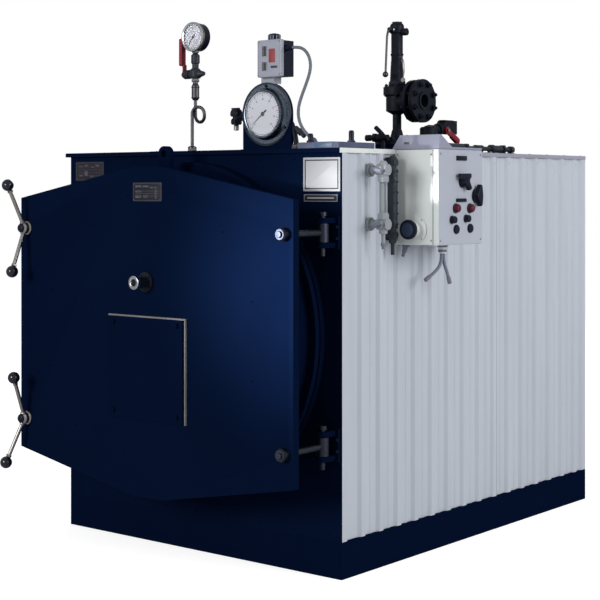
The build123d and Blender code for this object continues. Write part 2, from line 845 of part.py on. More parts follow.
reflex_standoff = 36
reflex_y = -611
reflex_x = valley + reflex_standoff
reflex_top = casing_height - 48
reflex_bottom = casing_height - 310
reflex_neck = 7
reflex_half_width = 13
reflex_margin = 24
with BuildPart() as reflex_level_gauge:
    add(block((reflex_x - reflex_half_width, reflex_y - reflex_half_width, reflex_bottom + reflex_margin),
              (reflex_x + reflex_half_width, reflex_y + reflex_half_width, reflex_top - reflex_margin)))
    for z in (reflex_top, reflex_bottom):
        steps = ((neck_reach, reflex_neck), (8, 19), (reflex_standoff - neck_reach + 8, 14))
        add(stepped(steps, axis_at(valley, reflex_y, z, (1, 0, 0))))
    add(stepped(((40, 7), (4, 7, 14), (reflex_margin + 26, 14)),
                Plane(origin=(reflex_x, reflex_y, reflex_bottom - 70))))
    add(stepped(((reflex_margin + 18, 14), (6, 14, 8)),
                Plane(origin=(reflex_x, reflex_y, reflex_top - reflex_margin))))
save(reflex_level_gauge, "reflex_level_gauge")

# Small pressure gauge on its siphon, coupling and cock, near the front left of the top
siphon_x = -168
siphon_y = -700
pipe_diameter = 13
loop_width = 56
loop_step = 18
loop_bend = 27
loop_bottom = casing_height + 118
loop_top = loop_bottom + 58
siphon_end = casing_height + 212
siphon_nut_steps = ((20, 17), (4, 17, 12))
coupling_steps = ((8, 10, 15), (48, 15), (10, 15, 10), (20, 10))
coupling_base = siphon_end - 8
with BuildPart() as siphon_pipe:
    x = siphon_x
    y = siphon_y - loop_step
    add(piped([(x, y, casing_height), (x, y, loop_top), (x + loop_width, y + loop_step / 3, loop_top),
               (x + loop_width, y + 2 * loop_step / 3, loop_bottom), (x, y + loop_step, loop_bottom),
               (x, y + loop_step, siphon_end)], loop_bend, pipe_diameter))
    add(stepped(siphon_nut_steps, Plane(origin=(x, y, casing_height))))
    add(stepped(coupling_steps, Plane(origin=(x, siphon_y, coupling_base))))
save(siphon_pipe, "siphon_pipe")

cock_base = coupling_base + length_of(coupling_steps)
cock_axis = 17
cock_height = cock_base + cock_axis
cock_steps = ((7, 19, 22), (20, 22), (9, 22, 19), (4, 19, 13), (16, 13), (4, 13, 17), (30, 17), (8, 17, 9))
cock_left = 54
plug_steps = ((26, 18), (50, 15), (24, 15, 8))
with BuildPart() as gauge_cock:
    add(stepped(cock_steps, Plane(origin=(siphon_x, siphon_y, cock_base))))
    add(stepped(plug_steps, axis_at(siphon_x - cock_left, siphon_y, cock_height, (1, 0, 0))))
save(gauge_cock, "gauge_cock")

small_gauge_radius = 57
small_gauge_depth = 48
small_gauge_stem = 14
small_gauge_rim = 7
small_gauge_recess = 6
stem_base = cock_base + length_of(cock_steps)
small_gauge_height = stem_base + small_gauge_stem + small_gauge_radius - 7
with BuildPart() as small_gauge:
    add(turned([(0, 0), (small_gauge_radius - 7, 0), (small_gauge_radius - 2, 4),
                (small_gauge_radius, small_gauge_depth - 8), (small_gauge_radius, small_gauge_depth),
                (small_gauge_radius - small_gauge_rim, small_gauge_depth),
                (small_gauge_radius - small_gauge_rim, small_gauge_depth - small_gauge_recess),
                (0, small_gauge_depth - small_gauge_recess)],
               axis_at(siphon_x, siphon_y + 30, small_gauge_height, (0, -1, 0))))
    add(stepped(((small_gauge_height - 50 - stem_base, 10),), Plane(origin=(siphon_x, siphon_y, stem_base))))
save(small_gauge, "small_gauge")

lever_gap = 0.4
lever_hub = 13
lever_thickness = 8
lever_rod_width = 16
grip_width = 22
grip_depth = 16
grip_start = 35
grip_length = 108
lever_x = siphon_x - cock_left - lever_gap
with BuildPart() as gauge_cock_lever:
    add(stepped(((lever_thickness, lever_hub),), axis_at(lever_x, siphon_y, cock_height, (-1, 0, 0))))
    add(block((lever_x - lever_thickness, siphon_y - lever_rod_width / 2, cock_height),
              (lever_x, siphon_y + lever_rod_width / 2, cock_height + grip_start + 4)))
    with BuildSketch(flank_plane(lever_x - lever_thickness - grip_depth)):
        with Locations((siphon_y, cock_height + grip_start + grip_length / 2)):
            RectangleRounded(grip_width, grip_length, 6)
    extrude(amount=grip_depth)
    add(block((lever_x - lever_thickness - 2, siphon_y - lever_rod_width / 2, cock_height + grip_start - 4),
              (lever_x, siphon_y + lever_rod_width / 2, cock_height + grip_start + 4)))
save(gauge_cock_lever, "gauge_cock_lever")

# Large pressure gauge with a back flange, on a plate with a foot at the front edge
dial_x = 321
dial_y = front_y
dial_height = casing_height + 129
dial_radius = 81.5
gauge_case_radius = 88
gauge_case_length = 23
gauge_dial_recess = 5
gauge_flange_radius = 115
gauge_flange_thickness = 4
pedestal_depth = 12
pedestal_foot = 44
pedestal_foot_thickness = 8
pedestal_front = front_y + 34
pedestal_back = pedestal_front + pedestal_depth
with BuildPart() as gauge_pedestal:
    with BuildSketch(face_plane(pedestal_back)):
        with Locations((dial_x, dial_height)):
            Circle(gauge_flange_radius)
        with Locations((dial_x, (casing_height + dial_height) / 2)):
            Rectangle(2 * gauge_flange_radius, dial_height - casing_height)
    extrude(amount=pedestal_depth)
    add(block((dial_x - gauge_flange_radius, pedestal_front, casing_height),
              (dial_x + gauge_flange_radius, pedestal_front + pedestal_foot,
               casing_height + pedestal_foot_thickness)))
save(gauge_pedestal, "gauge_pedestal")

with BuildPart() as large_gauge:
    add(turned([(0, 0), (gauge_flange_radius, 0), (gauge_flange_radius, gauge_flange_thickness),
                (gauge_case_radius, gauge_flange_thickness),
                (gauge_case_radius, gauge_flange_thickness + gauge_case_length),
                (dial_radius, gauge_flange_thickness + gauge_case_length),
                (dial_radius, gauge_flange_thickness + gauge_case_length - gauge_dial_recess),
                (0, gauge_flange_thickness + gauge_case_length - gauge_dial_recess)],
               axis_at(dial_x, pedestal_front, dial_height, (0, -1, 0))))
save(large_gauge, "large_gauge")

# Test cock at the left of the pedestal
test_cock_reach = 38
test_cock_steps = ((16, 9), (22, 18), (8, 14), (22, 21), (5, 21, 15))
test_cock_axis = 42
test_cock_setback = 6
with BuildPart() as gauge_test_cock:
    x = dial_x - gauge_flange_radius - test_cock_reach
    y = pedestal_front + test_cock_setback
    z = dial_height - 8
    add(stepped(test_cock_steps, Plane(origin=(x, y, z - test_cock_axis))))
    add(stepped(((test_cock_reach, 11),), axis_at(x, y, z, (1, 0, 0))))
save(gauge_test_cock, "gauge_test_cock")

# Pressure switch on a neck over the pedestal: a black body behind a pale cover, with a gland at its right
switch_box_x = 353
switch_box_width = 106
switch_box_depth = 64
switch_low = casing_height + 264
switch_box_height = 129
switch_cover_depth = 16
switch_cover_lip = 3
switch_corner = 6
switch_neck_x = 325
switch_neck_width = 62
switch_neck_depth = 40
switch_strap = 6
switch_strap_drop = 66
switch_cap_x = 345
switch_cap_steps = ((4, 15), (19, 23), (4, 23, 18))
switch_gland_steps = ((10, 12), (14, 10), (10, 8.5))
switch_gland_drop = 28
switch_front = front_y + 24
switch_back = switch_front + switch_box_depth
switch_middle = switch_back - switch_box_depth / 2
switch_gland_y = switch_front + 13
switch_cap_y = switch_front + 24
with BuildPart() as pressure_switch:
    with BuildSketch(Plane.XY.offset(switch_low)):
        with Locations((switch_box_x, switch_middle)):
            RectangleRounded(switch_box_width, switch_box_depth, switch_corner)
    extrude(amount=switch_box_height)
    add(stepped(switch_cap_steps,
                Plane(origin=(switch_cap_x, switch_cap_y, switch_low + switch_box_height))))
    add(stepped(switch_gland_steps,
                axis_at(switch_box_x + switch_box_width / 2, switch_gland_y,
                        switch_low + switch_box_height - switch_gland_drop, (1, 0, 0))))
save(pressure_switch, "pressure_switch")

low_x = switch_neck_x - switch_neck_width / 2
high_x = switch_neck_x + switch_neck_width / 2
with BuildPart() as switch_neck:
    add(block((low_x, pedestal_front, dial_height), (high_x, pedestal_front + switch_neck_depth, switch_low)))
    with BuildSketch(face_plane(switch_back)):
        with Locations((dial_x, dial_height)):
            Circle(gauge_flange_radius)
    extrude(amount=switch_box_depth, mode=Mode.SUBTRACT)
    add(block((low_x, pedestal_back, switch_low - switch_strap_drop),
              (high_x, pedestal_back + switch_strap, switch_low)))
save(switch_neck, "switch_neck")

with BuildPart() as switch_cover:
    with BuildSketch(face_plane(switch_front)):
        with Locations((switch_box_x, switch_low + switch_box_height / 2)):
            RectangleRounded(switch_box_width + 2 * switch_cover_lip, switch_box_height + 2 * switch_cover_lip,
                             switch_corner)
    extrude(amount=switch_cover_depth)
    fillet(switch_cover.faces().sort_by(Axis.Y)[0].edges(), switch_cover_lip)
save(switch_cover, "switch_cover")

# Conduit from the switch's gland down to a slanted gland on the duct, as points along its route
conduit_diameter = 12
conduit_route = [
    (switch_box_x + switch_box_width / 2 + length_of(switch_gland_steps), switch_gland_y,
     switch_low + switch_box_height - switch_gland_drop),
    (472, -842, 1865), (502, -843, 1850), (522, -845, 1822), (528, -847, 1788), (519, -849, 1752),
    (487, -855, 1676), (479, -858, 1640), (484, -861, 1605), (503, -865, 1573), (528, -868, 1551),
    (549, -871, 1534),
]
save_cord(conduit_route, conduit_diameter, "switch_conduit")

# Cable duct along the front edge of the top, round the corner and back along the right edge, with its glands
duct_height = 21
duct_depth = 38
duct_side_width = 38
duct_left = 503
duct_rear = -680
duct_setback = 12
duct_gland_steps = ((8, 11), (12, 8), (16, 9), (3, 9, 6))
duct_gland_y = -792
conduit_foot_steps = ((16, 11), (8, 13), (10, 10))
duct_front = front_y - duct_setback
duct_right = half_width - 4
with BuildPart() as cable_duct:
    add(block((duct_left, duct_front, casing_height),
              (duct_right, duct_front + duct_depth, casing_height + duct_height)))
    add(block((duct_right - duct_side_width, duct_front, casing_height),
              (duct_right, duct_rear, casing_height + duct_height)))
    add(stepped(duct_gland_steps,
                Plane(origin=(duct_right - duct_side_width / 2, duct_gland_y, casing_height + duct_height))))
    foot_run = last_run(conduit_route)
    foot = Vector(*conduit_route[-1]) + foot_run * length_of(conduit_foot_steps)
    add(stepped(conduit_foot_steps, Plane(origin=foot, z_dir=-foot_run)))
save(cable_duct, "cable_duct")

# Safety valve on a painted nozzle, with its discharge flange to the right
valve_x = 303
valve_y = 0
nozzle_steps = ((22, 58), (16, 90))
inlet_steps = ((16, 90), (4, 54), (10, 40), (30, 28, 20), (62, 18), (14, 18, 44), (60, 45), (6, 45, 50),
               (16, 56))
bonnet_steps = ((16, 56), (6, 44, 36), (20, 30), (80, 29, 25), (112, 24), (4, 24, 29), (28, 29), (8, 29, 25),
                (8, 25, 14), (2, 14, 4))
outlet_rise = 212
outlet_steps = ((64, 40), (16, 86), (20, 42), (16, 88), (5, 36))
outlet_start = 32
outlet_bore = 26
outlet_bore_depth = 40
with BuildPart() as valve_nozzle:
    add(stepped(nozzle_steps, Plane(origin=(valve_x, valve_y, casing_height))))
save(valve_nozzle, "valve_nozzle")

valve_base = casing_height + length_of(nozzle_steps)
outlet_height = casing_height + outlet_rise
with BuildPart() as safety_valve_body:
    add(stepped(inlet_steps, Plane(origin=(valve_x, valve_y, valve_base))))
    add(stepped(outlet_steps, axis_at(valve_x + outlet_start - 16, valve_y, outlet_height, (1, 0, 0))))
    with BuildSketch(flank_plane(valve_x + outlet_start - 16 + length_of(outlet_steps))):
        with Locations((valve_y, outlet_height)):
            Circle(outlet_bore)
    extrude(amount=-outlet_bore_depth, mode=Mode.SUBTRACT)
save(safety_valve_body, "safety_valve_body")

# Bonnet with a cap, a side knob and two ears that hold the test lever's pin
bonnet_base = valve_base + length_of(inlet_steps)
bonnet_top = bonnet_base + length_of(bonnet_steps)
cap_middle = bonnet_top - 36
cap_radius = 29
ear_reach = 22
ear_thickness = 6
ear_gap = 14
test_pin_diameter = 8
test_pin_y = valve_y - cap_radius - ear_reach / 2
knob_steps = ((8, 9), (16, 15), (3, 15, 11))
with BuildPart() as safety_valve_bonnet:
    add(stepped(bonnet_steps, Plane(origin=(valve_x, valve_y, bonnet_base))))
    add(stepped(knob_steps, axis_at(valve_x + cap_radius - 4, valve_y, cap_middle - 8, (1, 0, 0))))
    for side in (-1, 1):
        inner = valve_x + side * ear_gap / 2
        outer = inner + side * ear_thickness
        with BuildSketch(flank_plane(min(inner, outer))):
            with Locations((test_pin_y, cap_middle)):
                Circle(ear_reach / 2)
            with Locations((test_pin_y + ear_reach / 2, cap_middle)):
                Rectangle(ear_reach, ear_reach)
        extrude(amount=ear_thickness)
    with BuildSketch(flank_plane(valve_x - ear_gap / 2 - ear_thickness)):
        with Locations((test_pin_y, cap_middle)):
            Circle(test_pin_diameter / 2)
    extrude(amount=ear_gap + 2 * ear_thickness)
save(safety_valve_bonnet, "safety_valve_bonnet")

lever_hub_width = 12
lever_hub_radius = 9
test_lever_play = 0.2
test_lever_drop = 176
test_lever_bar = 9
test_ball_radius = 12
with BuildPart() as safety_valve_lever:
    with BuildSketch(flank_plane(valve_x - lever_hub_width / 2)):
        with Locations((test_pin_y, cap_middle)):
            Circle(lever_hub_radius)
    extrude(amount=lever_hub_width)
    add(piped([(valve_x, test_pin_y - 4, cap_middle), (valve_x, test_pin_y - 22, cap_middle - 4),
               (valve_x, test_pin_y - 30, cap_middle - 30),
               (valve_x, test_pin_y - 40, cap_middle - test_lever_drop)], 14, test_lever_bar))
    with Locations((valve_x, test_pin_y - 41, cap_middle - test_lever_drop - 8)):
        Sphere(test_ball_radius)
    with BuildSketch(flank_plane(valve_x - lever_hub_width / 2)):
        with Locations((test_pin_y, cap_middle)):
            Circle(test_pin_diameter / 2 + test_lever_play)
    extrude(amount=lever_hub_width, mode=Mode.SUBTRACT)
save(safety_valve_lever, "safety_valve_lever")

# Vent cock in front of the nozzle, with its lever laid over to the left
vent_y = valve_y - 116
vent_pipe_x = valve_x + 15
vent_rise = 63
vent_left = 84
vent_steps = ((20, 13), (36, 11), (28, 16), (24, 12))
vent_lever_steps = ((52, 8), (6, 8, 6))
with BuildPart() as vent_cock:
    add(stepped(((vent_rise, 8),), Plane(origin=(vent_pipe_x, vent_y, casing_height))))
    add(stepped(((12, 15),), Plane(origin=(vent_pipe_x, vent_y, casing_height))))
    add(stepped(vent_steps, axis_at(vent_pipe_x - vent_left, vent_y, casing_height + vent_rise, (1, 0, 0))))
    add(stepped(vent_lever_steps,
                axis_at(vent_pipe_x + 4, vent_y, casing_height + vent_rise + 6, (-0.76, 0, 0.65))))
save(vent_cock, "vent_cock")

# Steam stop valve behind the discharge flange: a body on its pipe, a black head and a red lever
stop_x = 400
stop_y = 86
stop_rise = 82
stop_body_steps = ((18, 60), (30, 30), (12, 30, 36), (44, 36), (6, 36, 30))
stop_neck_steps = ((60, 19), (10, 26))
head_width_y = 112
head_half_x = 20
head_low = 84
head_high = 140
head_slant = 30
stop_height = casing_height + stop_rise
head_start = stop_y + length_of(stop_neck_steps)
with BuildPart() as stop_valve_body:
    add(stepped(stop_body_steps, Plane(origin=(stop_x, stop_y, casing_height))))
    add(stepped(stop_neck_steps, axis_at(stop_x, stop_y, stop_height + 18, (0, 1, 0))))
    with BuildSketch(flank_plane(stop_x - head_half_x)):
        with BuildLine():
            Polyline((head_start, casing_height + head_low), (head_start, casing_height + head_high - head_slant),
                     (head_start + head_slant, casing_height + head_high),
                     (head_start + head_width_y, casing_height + head_high),
                     (head_start + head_width_y, casing_height + head_low), close=True)
        make_face()
    extrude(amount=2 * head_half_x)
save(stop_valve_body, "stop_valve_body")

stop_lever_hub = 16
stop_lever_thickness = 9
stop_lever_width = 22
stop_lever_length = 96
stop_lever_angle = -29
stop_lever_inset = 30
stop_lever_y = head_start + stop_lever_inset
stop_lever_z = casing_height + head_low + 14
stop_lever_x = stop_x + head_half_x + lever_gap
with BuildPart() as stop_valve_lever:
    with BuildSketch(flank_plane(stop_lever_x)):
        with Locations((stop_lever_y, stop_lever_z)):
            Circle(stop_lever_hub)
        slant = math.radians(stop_lever_angle)
        with Locations((stop_lever_y + stop_lever_length / 2 * math.cos(slant),
                        stop_lever_z + stop_lever_length / 2 * math.sin(slant))):
            RectangleRounded(stop_lever_length, stop_lever_width, 8, rotation=stop_lever_angle)
    extrude(amount=stop_lever_thickness)
save(stop_valve_lever, "stop_valve_lever")

# Pipe along the right edge of the top, with its couplings
top_pipe_x = half_width - 35
top_pipe_start = -170
top_pipe_steps = ((105, 17), (100, 9), (50, 14), (60, 9), (80, 15), (70, 9), (23, 14))
with BuildPart() as top_pipe:
    add(stepped(top_pipe_steps, axis_at(top_pipe_x, top_pipe_start, casing_height + 17, (0, 1, 0))))
save(top_pipe, "top_pipe")
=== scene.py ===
import json
import math

import bmesh
import bpy
from mathutils import Matrix, Vector


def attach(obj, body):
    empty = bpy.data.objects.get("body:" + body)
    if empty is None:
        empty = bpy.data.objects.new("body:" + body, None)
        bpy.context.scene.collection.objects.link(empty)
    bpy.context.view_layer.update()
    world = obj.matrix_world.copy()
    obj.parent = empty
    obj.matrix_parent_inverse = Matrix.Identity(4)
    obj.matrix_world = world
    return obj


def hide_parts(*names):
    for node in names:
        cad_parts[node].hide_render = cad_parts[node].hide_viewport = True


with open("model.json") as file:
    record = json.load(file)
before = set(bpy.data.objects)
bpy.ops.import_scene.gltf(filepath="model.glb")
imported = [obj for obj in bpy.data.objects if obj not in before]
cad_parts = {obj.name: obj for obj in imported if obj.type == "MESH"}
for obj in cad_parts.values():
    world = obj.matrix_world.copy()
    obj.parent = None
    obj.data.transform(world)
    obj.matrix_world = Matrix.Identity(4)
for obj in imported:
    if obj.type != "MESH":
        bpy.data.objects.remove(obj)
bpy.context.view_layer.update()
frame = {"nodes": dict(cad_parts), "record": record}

# The steam boiler's looks, built around its solids. Places and sizes in the tables are in millimetres.

nodes = frame["nodes"]
scene = bpy.context.scene
scene.view_settings.view_transform = "Standard"

MM = 0.001
FRONT = (0, -1, 0)
RIGHT = (1, 0, 0)
LEFT = (-1, 0, 0)
UP = (0, 0, 1)
DOWN = (0, 0, -1)
BACK = (0, 1, 0)

# Camera: level, at the photograph's viewing angle, with a vertical shift that keeps the uprights parallel

CAMERA_PLACE = (3.826, -4.979, 1.358)
CAMERA_TURN = 39.01
CAMERA_LENS = 89.34
CAMERA_SHIFT = -0.1857


def add_camera():
    camera_data = bpy.data.cameras.new("camera")
    camera = bpy.data.objects.new("camera", camera_data)
    scene.collection.objects.link(camera)
    camera_data.sensor_width = 36
    camera_data.lens = CAMERA_LENS
    camera_data.shift_y = CAMERA_SHIFT
    camera.location = CAMERA_PLACE
    camera.rotation_euler = (math.pi / 2, 0, math.radians(CAMERA_TURN))
    scene.camera = camera


# Materials: each is a Principled surface with its own colour variation, roughness and bump


class Surface:
    """A Principled material with helpers that add the nodes of its finish."""

    def __init__(self, name, colour, roughness, metallic=0.0, specular=0.5):
        self.material = bpy.data.materials.new(name)
        self.material.use_nodes = True
        self.tree = self.material.node_tree
        self.shader = self.tree.nodes["Principled BSDF"]
        self.shader.inputs["Base Color"].default_value = (*colour, 1)
        self.shader.inputs["Roughness"].default_value = roughness
        self.shader.inputs["Metallic"].default_value = metallic
        self.shader.inputs["Specular IOR Level"].default_value = specular
        self.colour = colour
        self.place = self.add("ShaderNodeTexCoord").outputs["Object"]

    def add(self, kind, **settings):
        node = self.tree.nodes.new(kind)
        for name, value in settings.items():
            if name in node.inputs:
                node.inputs[name].default_value = value
            else:
                setattr(node, name, value)
        return node

    def link(self, output, socket):
        self.tree.links.new(output, socket)

    def noise(self, scale, detail=3.0, roughness=0.5, stretch=(1, 1, 1)):
        mapping = self.add("ShaderNodeMapping")
        mapping.inputs["Scale"].default_value = stretch
        self.link(self.place, mapping.inputs["Vector"])
        node = self.add("ShaderNodeTexNoise", Scale=scale, Detail=detail, Roughness=roughness)
        self.link(mapping.outputs["Vector"], node.inputs["Vector"])
        return node.outputs["Fac"]

    def ramp(self, factor, low, high, low_value, high_value):
        node = self.add("ShaderNodeMapRange")
        node.inputs["From Min"].default_value = low
        node.inputs["From Max"].default_value = high
        node.inputs["To Min"].default_value = low_value
        node.inputs["To Max"].default_value = high_value
        self.link(factor, node.inputs["Value"])
        return node.outputs["Result"]

    def blend_colour(self, factor, first, second):
        node = self.add("ShaderNodeMix", data_type="RGBA")
        node.inputs["A"].default_value = (*first, 1)
        node.inputs["B"].default_value = (*second, 1)
        self.link(factor, node.inputs["Factor"])
        return node.outputs["Result"]

    def vary(self, factor, spread):
        """Colour that goes from darker to lighter by a share of itself."""
        dark = tuple(c * (1 - spread) for c in self.colour)
        light = tuple(min(1, c * (1 + spread)) for c in self.colour)
        self.link(self.blend_colour(factor, dark, light), self.shader.inputs["Base Color"])

    def worn(self, factor, other, edge):
        """The varied colour, with another one where the edges rub."""
        geometry = self.add("ShaderNodeNewGeometry")
        rubbed = self.ramp(geometry.outputs["Pointiness"], 0.53, 0.6, 0, edge)
        dark = tuple(c * 0.85 for c in self.colour)
        light = tuple(min(1, c * 1.15) for c in self.colour)
        mix = self.add("ShaderNodeMix", data_type="RGBA")
        self.link(rubbed, mix.inputs["Factor"])
        self.link(self.blend_colour(factor, dark, light), mix.inputs["A"])
        mix.inputs["B"].default_value = (*other, 1)
        self.link(mix.outputs["Result"], self.shader.inputs["Base Color"])

    def bump(self, height, strength, distance):
        node = self.add("ShaderNodeBump", Strength=strength, Distance=distance)
        self.link(height, node.inputs["Height"])
        self.link(node.outputs["Normal"], self.shader.inputs["Normal"])

    def gloss(self, factor, low, high):
        self.link(self.ramp(factor, 0.3, 0.7, low, high), self.shader.inputs["Roughness"])


def painted(name, colour, roughness, spread=0.1, peel=0.15, scale=3.0, specular=0.5):
    """Sprayed paint: slow drifts of colour and gloss, with a fine orange peel."""
    surface = Surface(name, colour, roughness, specular=specular)
    drift = surface.noise(scale, 5, 0.6)
    surface.vary(surface.ramp(drift, 0.3, 0.7, 0, 1), spread)
    surface.gloss(surface.noise(scale * 4, 4), roughness - 0.05, roughness + 0.07)
    surface.bump(surface.noise(420, 2), peel, 0.0004)
    return surface.material


def rubbed_paint(name, colour, roughness, specular, edge_colour):
    """Navy paint that has gone pale and chalky at its worn edges."""
    surface = Surface(name, colour, roughness, specular=specular)
    surface.worn(surface.ramp(surface.noise(3.2, 6, 0.62), 0.3, 0.7, 0, 1), edge_colour, 0.6)
    surface.gloss(surface.noise(9, 5, 0.6), roughness - 0.05, roughness + 0.1)
    surface.bump(surface.noise(380, 2), 0.14, 0.0004)
    return surface.material


def sheet_paint(name, colour):
    """Pale coated sheet with faint upright streaks."""
    surface = Surface(name, colour, 0.45, specular=0.3)
    streaks = surface.noise(9, 5, 0.6, (1.4, 1.4, 0.12))
    surface.vary(surface.ramp(streaks, 0.3, 0.7, 0, 1), 0.045)
    surface.gloss(surface.noise(14, 4), 0.4, 0.54)
    surface.bump(surface.noise(300, 2), 0.08, 0.0003)
    return surface.material


def steel(name, colour, roughness, stretch=(1, 1, 1), spread=0.12):
    """Bare metal with a fine grain along its making."""
    surface = Surface(name, colour, roughness, 1.0)
    surface.vary(surface.ramp(surface.noise(24, 5, 0.6), 0.3, 0.7, 0, 1), spread)
    surface.gloss(surface.noise(180, 3, 0.6, stretch), roughness - 0.08, roughness + 0.1)
    surface.bump(surface.noise(600, 2, 0.5, stretch), 0.12, 0.0003)
    return surface.material


def plastic(name, colour, roughness, spread=0.06, specular=0.5):
    """Moulded plastic with a faint texture."""
    surface = Surface(name, colour, roughness, specular=specular)
    surface.vary(surface.ramp(surface.noise(12, 3), 0.3, 0.7, 0, 1), spread)
    surface.gloss(surface.noise(60, 3), roughness - 0.04, roughness + 0.05)
    surface.bump(surface.noise(900, 2), 0.1, 0.0002)
    return surface.material


def rough_iron(name, colour, roughness, grain=90, spread=0.25, specular=0.5):
    """A cast surface under dull paint."""
    surface = Surface(name, colour, roughness, specular=specular)
    surface.vary(surface.ramp(surface.noise(18, 5, 0.65), 0.3, 0.7, 0, 1), spread)
    surface.gloss(surface.noise(40, 4), roughness - 0.08, roughness + 0.12)
    surface.bump(surface.noise(grain, 6, 0.7), 0.35, 0.0012)
    return surface.material


def fired_lining(name):
    """Refractory concrete: pale, pitted and slightly stained."""
    surface = Surface(name, (0.38, 0.345, 0.28), 0.92)
    stain = surface.noise(5, 6, 0.65)
    surface.link(surface.blend_colour(surface.ramp(stain, 0.35, 0.7, 0, 1), (0.4, 0.37, 0.315),
                                      (0.26, 0.23, 0.185)), surface.shader.inputs["Base Color"])
    surface.bump(surface.noise(70, 8, 0.75), 0.6, 0.003)
    return surface.material


def rope(name):
    """Braided rope packing."""
    surface = Surface(name, (0.46, 0.44, 0.38), 0.9)
    wave = surface.add("ShaderNodeTexWave", Scale=60, Distortion=2.0, Detail=2.0)
    surface.link(surface.place, wave.inputs["Vector"])
    surface.vary(wave.outputs["Fac"], 0.25)
    surface.bump(wave.outputs["Fac"], 0.6, 0.002)
    return surface.material


def clear_glass(name):
    """Thin clear glass that shows what lies behind it."""
    surface = Surface(name, (1, 1, 1), 0.03)
    surface.shader.inputs["Transmission Weight"].default_value = 1.0
    surface.shader.inputs["IOR"].default_value = 1.05
    surface.bump(surface.noise(40, 2), 0.02, 0.0002)
    return surface.material


# Finishes by name: the function that makes each, and its values

FINISHES = {
    "navy_paint": (rubbed_paint, (0.0014, 0.0045, 0.0195), 0.5, 0.0, (0.0025, 0.0075, 0.027)),
    "frame_paint": (rubbed_paint, (0.0012, 0.0042, 0.018), 0.5, 0.0, (0.002, 0.0065, 0.025)),
    "ribbed_sheet": (sheet_paint, (0.475, 0.51, 0.575)),
    "cabinet_paint": (painted, (0.68, 0.72, 0.71), 0.42, 0.03, 0.12, 3.0, 0.3),
    "lid_paint": (painted, (0.39, 0.42, 0.49), 0.45, 0.04, 0.12, 3.0, 0.3),
    "plain_steel": (steel, (0.36, 0.345, 0.33), 0.34),
    "boiler_plate": (rough_iron, (0.09, 0.075, 0.065), 0.62, 60, 0.35),
    "refractory": (fired_lining,),
    "rope_seal": (rope,),
    "black_plastic": (plastic, (0.006, 0.008, 0.02), 0.35, 0.06, 0.15),
    "black_iron": (rough_iron, (0.005, 0.0075, 0.015), 0.5, 90, 0.25, 0.15),
    "chrome_fittings": (steel, (0.62, 0.64, 0.66), 0.2, (1, 1, 1), 0.05),
    "red_plastic": (plastic, (0.22, 0.01, 0.025), 0.32, 0.06, 0.35),
    "grey_plastic": (plastic, (0.32, 0.34, 0.41), 0.42, 0.06, 0.35),
    "dial_white": (plastic, (0.44, 0.45, 0.5), 0.5, 0.01, 0.3),
    "print_black": (plastic, (0.02, 0.02, 0.025), 0.5),
    "print_red": (plastic, (0.27, 0.03, 0.04), 0.5),
    "plate_white": (painted, (0.32, 0.33, 0.35), 0.4, 0.02, 0.08, 3.0, 0.3),
    "plate_dark": (painted, (0.01, 0.012, 0.022), 0.4, 0.1, 0.08, 3.0, 0.2),
    "plate_brown": (painted, (0.018, 0.018, 0.028), 0.45, 0.3, 0.1, 3.0, 0.2),
    # A painted highlight: the pale colour of the strip on the burner plate's top and right edges.
    "trim_white": (painted, (0.17, 0.16, 0.165), 0.5, 0.12, 0.2, 14, 0.3),
    "pipe_bronze": (steel, (0.085, 0.085, 0.095), 0.42),
    "gauge_case": (steel, (0.15, 0.185, 0.24), 0.26),
    "duct_dark": (painted, (0.075, 0.09, 0.15), 0.45, 0.25, 0.12, 14, 0.2),
    "coupling_dark": (rough_iron, (0.018, 0.024, 0.034), 0.45, 90, 0.25, 0.25),
    "conduit_grey": (plastic, (0.13, 0.15, 0.18), 0.45, 0.06, 0.3),
    "lead_grey": (plastic, (0.17, 0.19, 0.25), 0.5, 0.06, 0.2),
    "duct_grey": (painted, (0.3, 0.3, 0.38), 0.45, 0.08, 0.12, 3.0, 0.2),
    "hood_paint": (painted, (0.27, 0.28, 0.37), 0.5, 0.06, 0.12, 3.0, 0.2),
    "blue_band": (plastic, (0.03, 0.07, 0.15), 0.45),
    "blue_cap": (plastic, (0.03, 0.046, 0.095), 0.4, 0.06, 0.15),
    "lens_red": (plastic, (0.09, 0.008, 0.022), 0.35, 0.06, 0.2),
    "label_grey": (painted, (0.08, 0.073, 0.085), 0.5, 0.3, 0.1, 30, 0.2),
    "seal_lead": (steel, (0.3, 0.29, 0.27), 0.5),
    "weld": (rough_iron, (0.1, 0.095, 0.09), 0.5, 200, 0.3),
    "glass": (clear_glass,),
    "dark_steel": (steel, (0.038, 0.044, 0.062), 0.4),
    "ball_plastic": (plastic, (0.006, 0.008, 0.016), 0.14),
    "dull_nickel": (painted, (0.27, 0.29, 0.32), 0.4, 0.12, 0.1, 8, 0.2),
    "gauge_green": (rough_iron, (0.033, 0.043, 0.052), 0.5, 90, 0.25, 0.1),
    "plug_grey": (plastic, (0.15, 0.145, 0.17), 0.5),
}
materials = {name: make(name, *values) for name, (make, *values) in FINISHES.items()}

# Finish of single nodes that differ from the rest of their slot, and how much their edges are rounded

